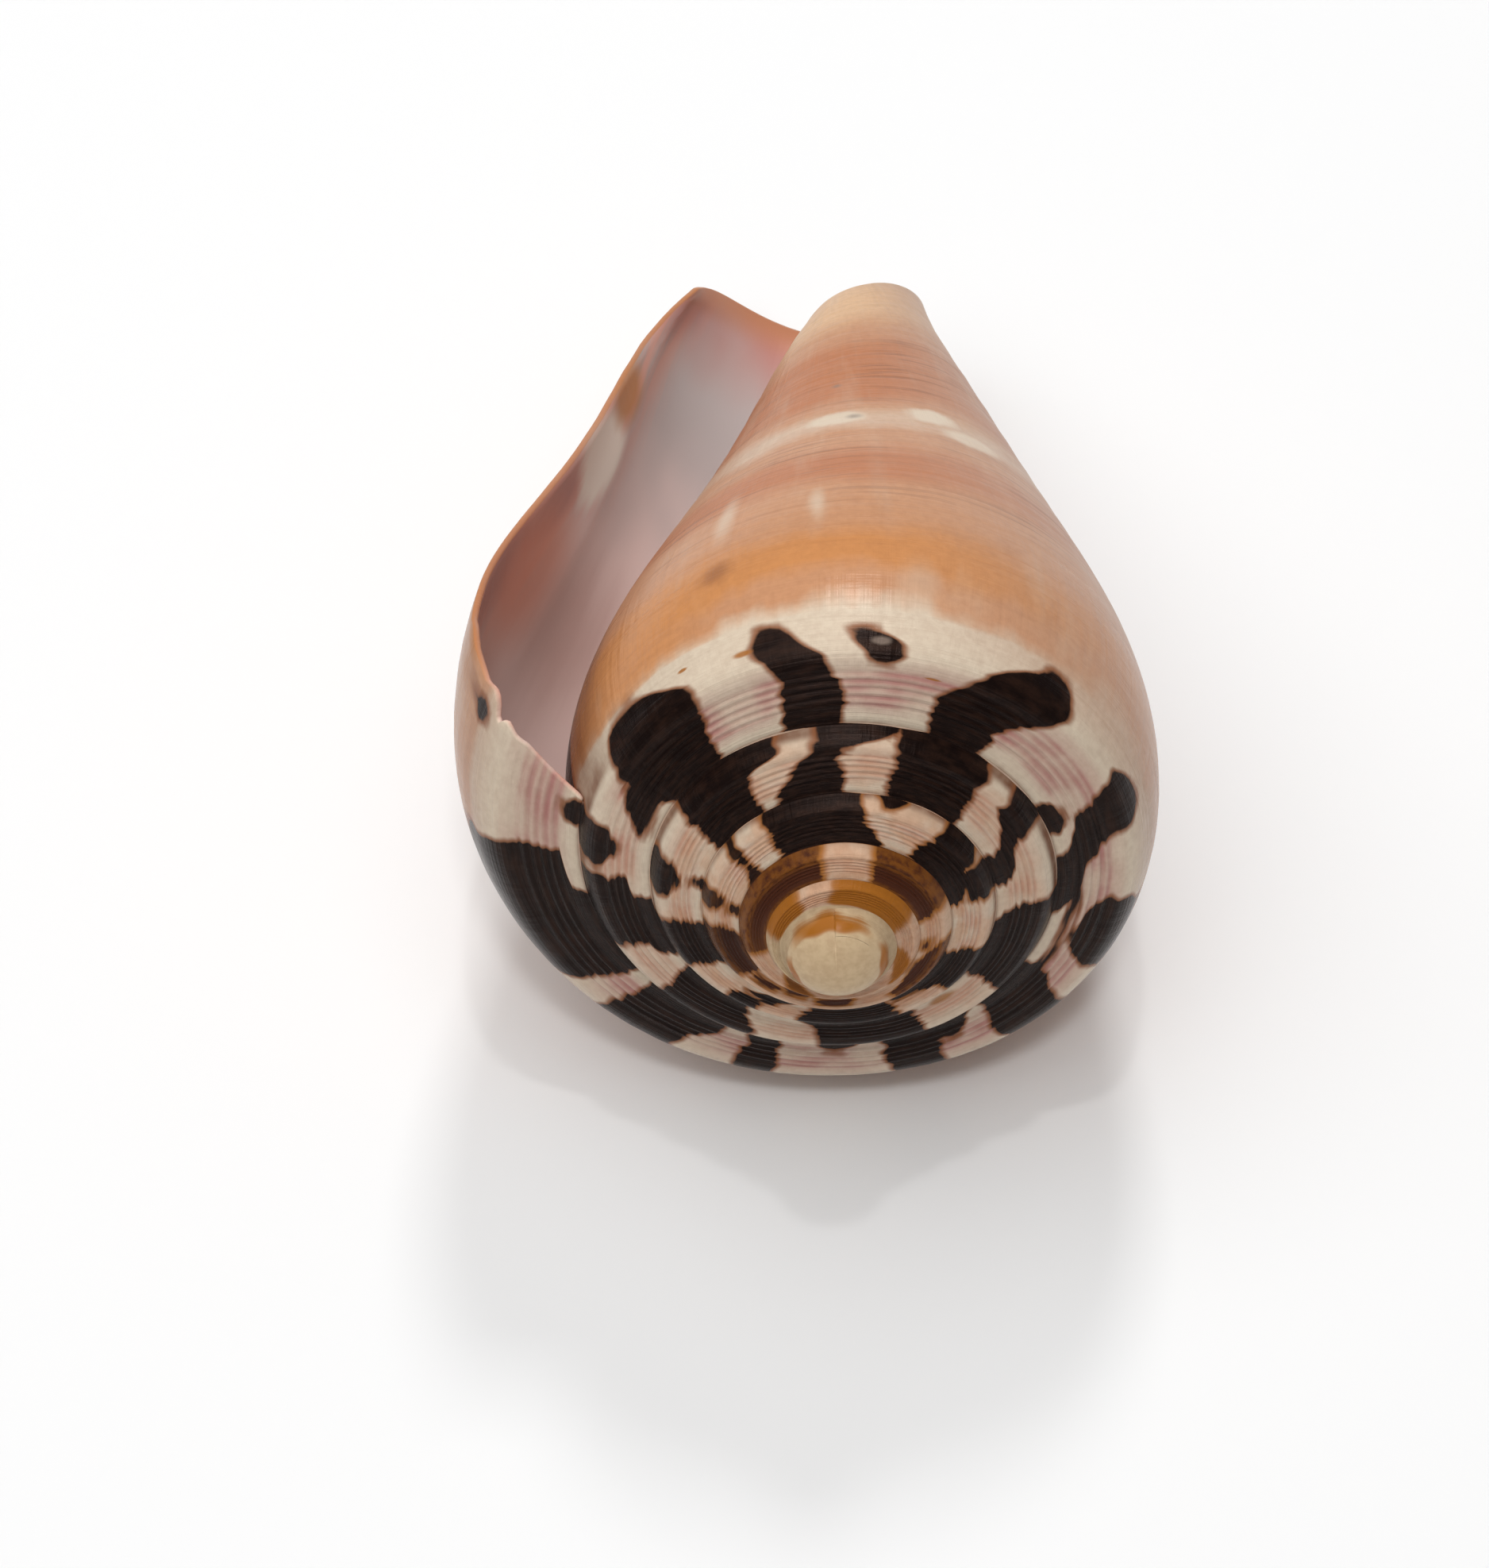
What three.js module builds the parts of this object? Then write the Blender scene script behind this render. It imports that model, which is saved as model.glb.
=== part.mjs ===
import * as THREE from "three";

// The shell of a cone snail, in millimetres. It is one coiled sheet that grew as one body.
// Age is counted in turns: 0 where the lip meets the suture, negative further back in growth.
// Shell frame: +Z along the coiling axis towards the apex, which is at the origin.

// Coil
const SHOULDER_RADIUS = 17.8; // of the shoulder's corner at age 0
const SHOULDER_DROP = 10.5; // of the shoulder's corner below the apex at age 0
const GROWTH_RATE = 0.329; // natural logarithm of the widening over one turn
const DROP_POWER = 0.868; // below 1, so the young spire is steeper than the old one
const SUTURE_DROP = 1.04; // of the suture below the older whorl's shoulder, at age 0
const SUTURE_RADIUS_RATIO = 1.012; // suture radius over that shoulder's radius
const SPIRE_TURNS = 5.8; // whorls still legible; the rest is the worn knob
const KNOB_TOP = -0.2; // height of the worn knob

// Body whorl
const BODY_LENGTH = 68; // apex to the anterior edge, extrapolated to age 0
const EDGE_RISE_1 = 0.304; // shortening of the anterior edge, linear in age
const EDGE_RISE_2 = 0.045; // the same, quadratic
const EDGE_RADIUS = 9.48; // of the anterior edge at age 0
const EDGE_RATE_1 = 1.106; // its growth, linear in age
const EDGE_RATE_2 = -0.072; // the same, quadratic
const BULGE_HIGH = 0.236; // profile bulges over the shoulder radius
const BULGE_MIDDLE = [-0.088, -0.052]; // at age 0, and its change over one turn
const BULGE_LOW = [0.105, 0.044];
const SWELL_AGE = -0.555; // the swelling left by the old siphonal notch
const SWELL_WIDTH = 0.17;
const SWELL_WIDE = 0.071;
const SWELL_NARROW = -0.089;

// Lip and aperture
const SUTURE_END = -0.041; // age of the lip's upper end in the coil's own count
const LIP_CURVE = [-0.022, 0.067, -0.19, 0.05]; // lip age down the body, as a cubic
const LIP_FADE = 0.6; // turns over which the lip's skew fades out
const CORNER_CUT = 0.093; // rounding of the lip's front corner, over the body length
const CORNER_WIDTH = 0.055;
const LIP_THICKNESS = 0.5;
const RIM_CREST = 0.25; // how far the rim's crest stands out, over its thickness
const WALL_THICKNESS = 1.2;
const WALL_FADE = 0.08; // turns over which the lip thickens to the wall
const CANAL_END = 0.3; // turns back to where the anterior canal is sealed
const CANAL_FLOOR = 0.1; // share of the body that the sealed end fills
const CAVITY_TURNS = 1; // depth of the hollow behind the lip

// Columella tip
const TIP_DIP = 3.6; // of the old edge towards the tip, past one turn
const TIP_DIP_AGE = -1.3;
const TIP_RISE = 7; // of the edge deep inside
const TIP_CENTRE = -56.5; // end of the axis
const TIP_ROUNDNESS = 0.4; // 0 is a cone, 1 is a dome

// Facets
const COLUMNS = 40; // per turn
const RAMP_ROWS = 3;
const SHOULDER_ROWS = 4;
const GLUE_ROWS = 2;
const BODY_ROWS = 11;
const SHOULDER_ON_RAMP = 0.7; // where the shoulder's rounding starts on the ramp
const SHOULDER_ON_BODY = 0.05; // and where it ends on the body
const SHOULDER_FULLNESS = 0.95; // 0 cuts the corner, 1 passes through it
const CAP_RINGS = 3;

// Rest on the side, apex forward: a turn about the coil's axis, then a tilt, in radians
const REST_TURN = 2.613;
const REST_TILT = 1.3254;
const REST_FLAT = 0.7; // depth rubbed off the side it lies on

const TAU = 2 * Math.PI;
const SUTURE_ROW = RAMP_ROWS + SHOULDER_ROWS;
const CAVITY_ROW = SUTURE_ROW + GLUE_ROWS;
const EDGE_ROW = CAVITY_ROW + BODY_ROWS;
const CAVITY_COLUMNS = CAVITY_TURNS * COLUMNS;
const CANAL_COLUMNS = Math.round(CANAL_END * COLUMNS);
const LAST_COLUMN = Math.round(SPIRE_TURNS * COLUMNS);

const growth = (age) => Math.exp(GROWTH_RATE * age);
const mix = (a, b, k) => a.map((v, n) => v + (b[n] - v) * k);
const clamp = (v) => Math.min(Math.max(v, 0), 1);
const smooth = (v) => clamp(v) * clamp(v) * (3 - 2 * clamp(v));

// Profile points are [radius, height].
function shoulder(age) {
  return [SHOULDER_RADIUS * growth(age), -SHOULDER_DROP * growth(age) ** DROP_POWER];
}

function suture(age) {
  const [r, z] = shoulder(age - 1);
  return [r * SUTURE_RADIUS_RATIO, z - SUTURE_DROP * growth(age)];
}

function edge(age) {
  const radius = EDGE_RADIUS * Math.exp(EDGE_RATE_1 * age + EDGE_RATE_2 * age * age);
  const outer = Math.max(age, -1);
  const lipAge = LIP_CURVE.reduce((sum, c) => sum + c, 0);
  const corner = CORNER_CUT * Math.exp(Math.min(age - lipAge, 0) / CORNER_WIDTH);
  let z = -BODY_LENGTH * (1 + EDGE_RISE_1 * outer + EDGE_RISE_2 * outer * outer - corner);
  z -= TIP_DIP * smooth((age + 1) / (TIP_DIP_AGE + 1));
  z += TIP_RISE * smooth((age - TIP_DIP_AGE) / (-2 - TIP_DIP_AGE));
  return [radius, z];
}

// The body wall, from the shoulder's corner (u = 0) to the anterior edge (u = 1).
function body(age, u) {
  const top = shoulder(age);
  const [r, z] = mix(top, edge(age), u);
  const v = 1 - u;
  const high = 9.5 * u * v ** 3;
  const middle = 16 * u * u * v * v;
  const low = 9.5 * u ** 3 * v;
  const narrow = 17.65 * u ** 6 * v;
  const swell = Math.exp(-(((age - SWELL_AGE) / SWELL_WIDTH) ** 2));
  const bulge =
    BULGE_HIGH * high +
    (BULGE_MIDDLE[0] + BULGE_MIDDLE[1] * age) * middle +
    (BULGE_LOW[0] + BULGE_LOW[1] * age) * low +
    swell * (SWELL_WIDE * low + SWELL_NARROW * narrow);
  return [r + top[0] * bulge, z];
}

// Depth of the next whorl's suture on this whorl, as a share of the body.
function sutureShare(age) {
  const drop = SUTURE_DROP * growth(age + 1);
  return drop / (shoulder(age)[1] - edge(age)[1]);
}

function rounded(age, k) {
  const start = mix(suture(age), shoulder(age), SHOULDER_ON_RAMP);
  const end = body(age, SHOULDER_ON_BODY);
  const chord = mix(start, end, 0.5);
  const corner = shoulder(age).map((v, n) => v + SHOULDER_FULLNESS * (v - chord[n]) * 0.5);
  return mix(mix(start, corner, k), mix(corner, end, k), k);
}

// Row 0 is this whorl's suture, SUTURE_ROW the next whorl's, EDGE_ROW the anterior edge.
function profile(age, row) {
  if (row <= RAMP_ROWS) {
    return mix(suture(age), shoulder(age), (SHOULDER_ON_RAMP * row) / RAMP_ROWS);
  }
  const share = sutureShare(age);
  const next = Math.sqrt(share / SHOULDER_ON_BODY);
  if (row <= SUTURE_ROW) {
    const k = (row - RAMP_ROWS) / SHOULDER_ROWS;
    const point = rounded(age, k * next);
    const hold = smooth((-0.8 - age) / 0.2) * k * k;
    const target = suture(age + 1);
    const natural = rounded(age, next);
    return point.map((v, n) => v + hold * (target[n] - natural[n]));
  }
  const wall = WALL_THICKNESS * Math.min(1, growth(age + 1));
  const glue = share + (wall / BODY_LENGTH) * 1.1;
  if (row <= CAVITY_ROW) {
    const k = (row - SUTURE_ROW) / GLUE_ROWS;
    return mix(profile(age, SUTURE_ROW), profile(age, CAVITY_ROW + 0.001), k);
  }
  const k = Math.max(0, (row - CAVITY_ROW) / BODY_ROWS);
  return body(age, glue + (1 - glue) * k);
}

// The lip leans: its age changes from row to row, and the skew fades out behind it.
function skew(age, row) {
  const share = row / EDGE_ROW;
  const u = clamp((row - RAMP_ROWS - 1) / (EDGE_ROW - RAMP_ROWS - 1));
  const lip = LIP_CURVE.reduce((sum, c, n) => sum + c * u ** n, 0) - SUTURE_END;
  const start = clamp((share * EDGE_ROW) / (RAMP_ROWS + 1));
  return lip * start * (1 - smooth(-age / LIP_FADE));
}

function outerPoint(column, row) {
  const age = -column / COLUMNS;
  const grown = age + skew(age, row) + SUTURE_END;
  return { age: grown, point: profile(grown, row) };
}

function thickness(age, row) {
  const behind = WALL_THICKNESS + (LIP_THICKNESS - WALL_THICKNESS) * Math.exp(age / WALL_FADE);
  const front = row / EDGE_ROW;
  return behind * (1 + 0.5 * front * smooth(-age / CANAL_END));
}

function innerPoint(column, row) {
  const age = -column / COLUMNS;
  const grown = age + skew(age, row) + SUTURE_END;
  const lift = CANAL_FLOOR * smooth((-age - CANAL_END) / 0.12);
  const place = Math.min(row, CAVITY_ROW) + Math.max(row - CAVITY_ROW, 0) * (1 - lift);
  const step = 0.05;
  const before = profile(grown, Math.max(place - step, 0));
  const after = profile(grown, Math.min(place + step, EDGE_ROW));
  const length = Math.hypot(after[0] - before[0], after[1] - before[1]);
  const inward = [(after[1] - before[1]) / length, -(after[0] - before[0]) / length];
  const depth = thickness(age, row);
  const [r, z] = profile(grown, place);
  return { age: grown, point: [r + inward[0] * depth, z + inward[1] * depth] };
}

const places = [];
const triangles = [];
const known = new Map();

function add(x, y, z) {
  places.push(x, y, z);
  return places.length / 3 - 1;
}

function vertex(sheet, column, row) {
  if (row === 0 && sheet === "inner") return vertex("outer", column + COLUMNS, CAVITY_ROW);
  if (row === 0 && column + COLUMNS <= LAST_COLUMN) {
    return vertex("outer", column + COLUMNS, SUTURE_ROW);
  }
  const key = `${sheet} ${column} ${row}`;
  if (!known.has(key)) {
    const { age, point } = (sheet === "outer" ? outerPoint : innerPoint)(column, row);
    const angle = -TAU * age;
    known.set(key, add(point[0] * Math.cos(angle), point[0] * Math.sin(angle), point[1]));
  }
  return known.get(key);
}

const outer = (column, row) => vertex("outer", column, row);
const inner = (column, row) => vertex("inner", column, row);
const at = (id) => new THREE.Vector3().fromArray(places, 3 * id);

function face(a, b, c) {
  if (a !== b && b !== c && c !== a) triangles.push([a, b, c]);
}

function quad(a, b, c, d) {
  face(a, b, c);
  face(a, c, d);
}

// The exterior, with the spire's exposed ramps, and the cavity's inner wall.
function layOuter() {
  for (let c = 0; c < LAST_COLUMN; c += 1) {
    for (let r = 0; r < EDGE_ROW; r += 1) {
      const spire = r < SUTURE_ROW;
      const wall = r >= CAVITY_ROW && c < COLUMNS + CAVITY_COLUMNS;
      if (spire || wall || c < COLUMNS) {
        quad(outer(c, r), outer(c, r + 1), outer(c + 1, r + 1), outer(c + 1, r));
      }
    }
  }
}

function layInner() {
  for (let c = 0; c < CAVITY_COLUMNS; c += 1) {
    for (let r = 0; r < EDGE_ROW; r += 1) {
      quad(inner(c, r), inner(c + 1, r), inner(c + 1, r + 1), inner(c, r + 1));
    }
  }
  // The anterior floor of the cavity, behind the canal.
  for (let c = CANAL_COLUMNS; c < CAVITY_COLUMNS; c += 1) {
    const near = [inner(c, EDGE_ROW), outer(c + COLUMNS, EDGE_ROW)];
    const far = [inner(c + 1, EDGE_ROW), outer(c + 1 + COLUMNS, EDGE_ROW)];
    quad(near[0], far[0], far[1], near[1]);
  }
  // The cavity's deep end.
  const a = [];
  const b = [];
  for (let r = 0; r <= EDGE_ROW; r += 1) a.push(inner(CAVITY_COLUMNS, r));
  for (let r = CAVITY_ROW; r <= EDGE_ROW; r += 1) {
    b.push(outer(CAVITY_COLUMNS + COLUMNS, r));
  }
  let [m, n] = [0, 0];
  while (m < a.length - 1 || n < b.length - 1) {
    if (n === b.length - 1 || (m + 1) / a.length <= (n + 1) / b.length) {
      face(a[m], b[n], a[m + 1]);
      m += 1;
    } else {
      face(a[m], b[n], b[n + 1]);
      n += 1;
    }
  }
}

// The rounded rim: one row of crest points between the outer and the inner sheet.
const crests = new Map();

function crest(column, row) {
  if (row === 0) return outer(column + COLUMNS, SUTURE_ROW + 1);
  const key = `${column} ${row}`;
  if (!crests.has(key)) {
    const [a, b] = [at(outer(column, row)), at(inner(column, row))];
    const lip = column === 0 ? at(outer(1, row)).sub(a).normalize() : new THREE.Vector3();
    const low = row === EDGE_ROW ? at(outer(column, row - 1)).sub(a).normalize() : new THREE.Vector3();
    const out = lip.add(low).normalize().multiplyScalar(-RIM_CREST * a.distanceTo(b));
    const p = a.lerp(b, 0.5).add(out);
    crests.set(key, add(p.x, p.y, p.z));
  }
  return crests.get(key);
}

function layRim() {
  for (let r = 0; r < EDGE_ROW; r += 1) {
    quad(outer(0, r), crest(0, r), crest(0, r + 1), outer(0, r + 1));
    quad(crest(0, r), inner(0, r), inner(0, r + 1), crest(0, r + 1));
  }
  for (let c = 0; c < CANAL_COLUMNS; c += 1) {
    quad(outer(c, EDGE_ROW), crest(c, EDGE_ROW), crest(c + 1, EDGE_ROW), outer(c + 1, EDGE_ROW));
    quad(crest(c, EDGE_ROW), inner(c, EDGE_ROW), inner(c + 1, EDGE_ROW), crest(c + 1, EDGE_ROW));
  }
}

// A dome of rings from a closed loop up to one point on the axis.
function layDome(loop, top, roundness) {
  let ring = loop;
  for (let n = 1; n < CAP_RINGS; n += 1) {
    const turn = (n / CAP_RINGS) * (Math.PI / 2);
    const next = loop.map((id) => {
      const p = at(id);
      const lift = mix([n / CAP_RINGS], [Math.sin(turn)], roundness)[0];
      const reach = mix([1 - n / CAP_RINGS], [Math.cos(turn)], roundness)[0];
      return add(p.x * reach, p.y * reach, p.z + (top - p.z) * lift);
    });
    ring.forEach((id, k) => {
      const j = (k + 1) % ring.length;
      quad(id, ring[j], next[j], next[k]);
    });
    ring = next;
  }
  const centre = add(0, 0, top);
  ring.forEach((id, k) => face(id, ring[(k + 1) % ring.length], centre));
}

layOuter();
layInner();
layRim();

const tipLoop = [];
for (let c = CANAL_COLUMNS + COLUMNS; c >= CANAL_COLUMNS; c -= 1) tipLoop.push(outer(c, EDGE_ROW));
tipLoop.push(crest(CANAL_COLUMNS, EDGE_ROW), inner(CANAL_COLUMNS, EDGE_ROW));
layDome(tipLoop, TIP_CENTRE, TIP_ROUNDNESS);

const knobLoop = [];
for (let c = LAST_COLUMN - COLUMNS + 1; c <= LAST_COLUMN; c += 1) knobLoop.push(outer(c, 0));
for (let r = 1; r <= SUTURE_ROW; r += 1) knobLoop.push(outer(LAST_COLUMN, r));
layDome(knobLoop, KNOB_TOP, 1);

const geometry = new THREE.BufferGeometry();
geometry.setAttribute("position", new THREE.Float32BufferAttribute(places, 3));
geometry.setIndex(triangles.flat());
geometry.rotateZ(REST_TURN);
geometry.rotateX(REST_TILT);

// The side it lies on is rubbed flat, which is what keeps a round shell from rolling.
geometry.computeBoundingBox();
const floor = geometry.boundingBox.min.z + REST_FLAT;
const { position } = geometry.attributes;
for (let n = 0; n < position.count; n += 1) position.setZ(n, Math.max(position.getZ(n), floor));

geometry.computeBoundingBox();
const { min, max } = geometry.boundingBox;
geometry.translate(-(min.x + max.x) / 2, -(min.y + max.y) / 2, -min.z);
geometry.computeVertexNormals();

const material = new THREE.MeshStandardMaterial({
  color: 0xc98a5e,
  roughness: 0.35,
  metalness: 0,
});
const shell = new THREE.Mesh(geometry, material);
shell.name = "shell";

const group = new THREE.Group();
group.name = "cone_shell";
group.add(shell);

export default group;
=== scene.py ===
"""A cone shell grown from its coil, with its markings, on a plain pale stage."""

import math

import bpy
import numpy as np
from mathutils import Matrix, Vector


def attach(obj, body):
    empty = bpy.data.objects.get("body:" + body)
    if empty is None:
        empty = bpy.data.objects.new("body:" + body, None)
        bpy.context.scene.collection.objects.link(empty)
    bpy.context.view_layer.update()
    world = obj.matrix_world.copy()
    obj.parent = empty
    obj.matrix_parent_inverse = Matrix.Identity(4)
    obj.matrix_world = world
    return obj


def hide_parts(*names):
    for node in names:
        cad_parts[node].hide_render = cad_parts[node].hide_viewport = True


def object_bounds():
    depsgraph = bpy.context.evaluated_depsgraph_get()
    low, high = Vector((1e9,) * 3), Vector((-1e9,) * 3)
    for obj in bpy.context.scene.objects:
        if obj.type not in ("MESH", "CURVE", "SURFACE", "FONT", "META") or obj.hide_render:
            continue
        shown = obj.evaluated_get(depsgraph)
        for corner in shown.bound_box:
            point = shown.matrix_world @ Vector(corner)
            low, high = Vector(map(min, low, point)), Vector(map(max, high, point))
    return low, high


bl_info = {
    "name": "Cone Shell",
    "version": (1, 0, 0),
    "blender": (4, 5, 0),
    "location": "View3D > Sidebar > Cone Shell",
    "description": "Grows a cone shell with its markings and sets it on a stage",
    "category": "Add Mesh",
}

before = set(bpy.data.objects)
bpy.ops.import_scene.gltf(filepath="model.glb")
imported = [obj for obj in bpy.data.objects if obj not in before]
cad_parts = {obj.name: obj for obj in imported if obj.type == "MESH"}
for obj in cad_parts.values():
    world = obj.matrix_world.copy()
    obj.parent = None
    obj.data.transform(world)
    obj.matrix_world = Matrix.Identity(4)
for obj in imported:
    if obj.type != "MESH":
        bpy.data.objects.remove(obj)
CAD_BOX = [list(corner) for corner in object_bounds()]
MM = 0.001
TAU = 2 * math.pi

# ---------------------------------------------------------------- coil of the shell
# Lengths in millimetres, ages in turns. Age 0 is the lip, and it falls back along the growth.
DROP_POWER = 0.868
SUTURE_RADIUS_RATIO = 1.012
SHOULDER_SHARE = 0.7
SHOULDER_ON_BODY = 0.05
SHOULDER_FULLNESS = 0.95
EDGE_RISE = (0.304, 0.045)
EDGE_GROWTH = (1.106, -0.072)
BULGE_HIGH = 0.236
BULGE_MIDDLE = (-0.088, -0.052)
BULGE_LOW = (0.105, 0.044)
SWELL_AGE, SWELL_WIDTH = -0.555, 0.17
SWELL_WIDE, SWELL_NARROW = 0.071, -0.089
SUTURE_END = -0.041
LIP_CURVE = (-0.022, 0.067, -0.19, 0.05)
LIP_FADE = 0.6
CORNER_CUT, CORNER_WIDTH = 0.093, 0.055
WALL_FADE = 0.08
CANAL_END, CANAL_FLOOR = 0.3, 0.1
TIP_DIP, TIP_DIP_AGE = 3.6, -1.3
TIP_RISE = 7.0
TIP_CENTRE = -56.5
TIP_ROUNDNESS = 0.4
KNOB_TOP = -0.2
SPIRE_TURNS = 5.8
REST_TURN, REST_TILT = 2.613, 1.3254
REST_FLAT = 0.7

# ---------------------------------------------------------------- grid of the sheet
COLUMNS = 200
RAMP_ROWS = 38
SHOULDER_ROWS = 12
CREST_ROWS = 3
BODY_ROWS = 42
SUTURE_ROW = RAMP_ROWS + SHOULDER_ROWS
CAVITY_ROW = SUTURE_ROW + CREST_ROWS + 1
EDGE_ROW = CAVITY_ROW + BODY_ROWS
LAST_COLUMN = round(SPIRE_TURNS * COLUMNS)
CANAL_COLUMNS = round(CANAL_END * COLUMNS)
CAP_RINGS = 8
# What each vertex carries to the material: its age in turns, its place across the sheet, its depth
# inside a blotch in mm, whether it is lining, and how many turns it lies behind the lip.
VERTEX_VALUES = ("age", "across", "blotch", "lining", "behind")

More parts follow.
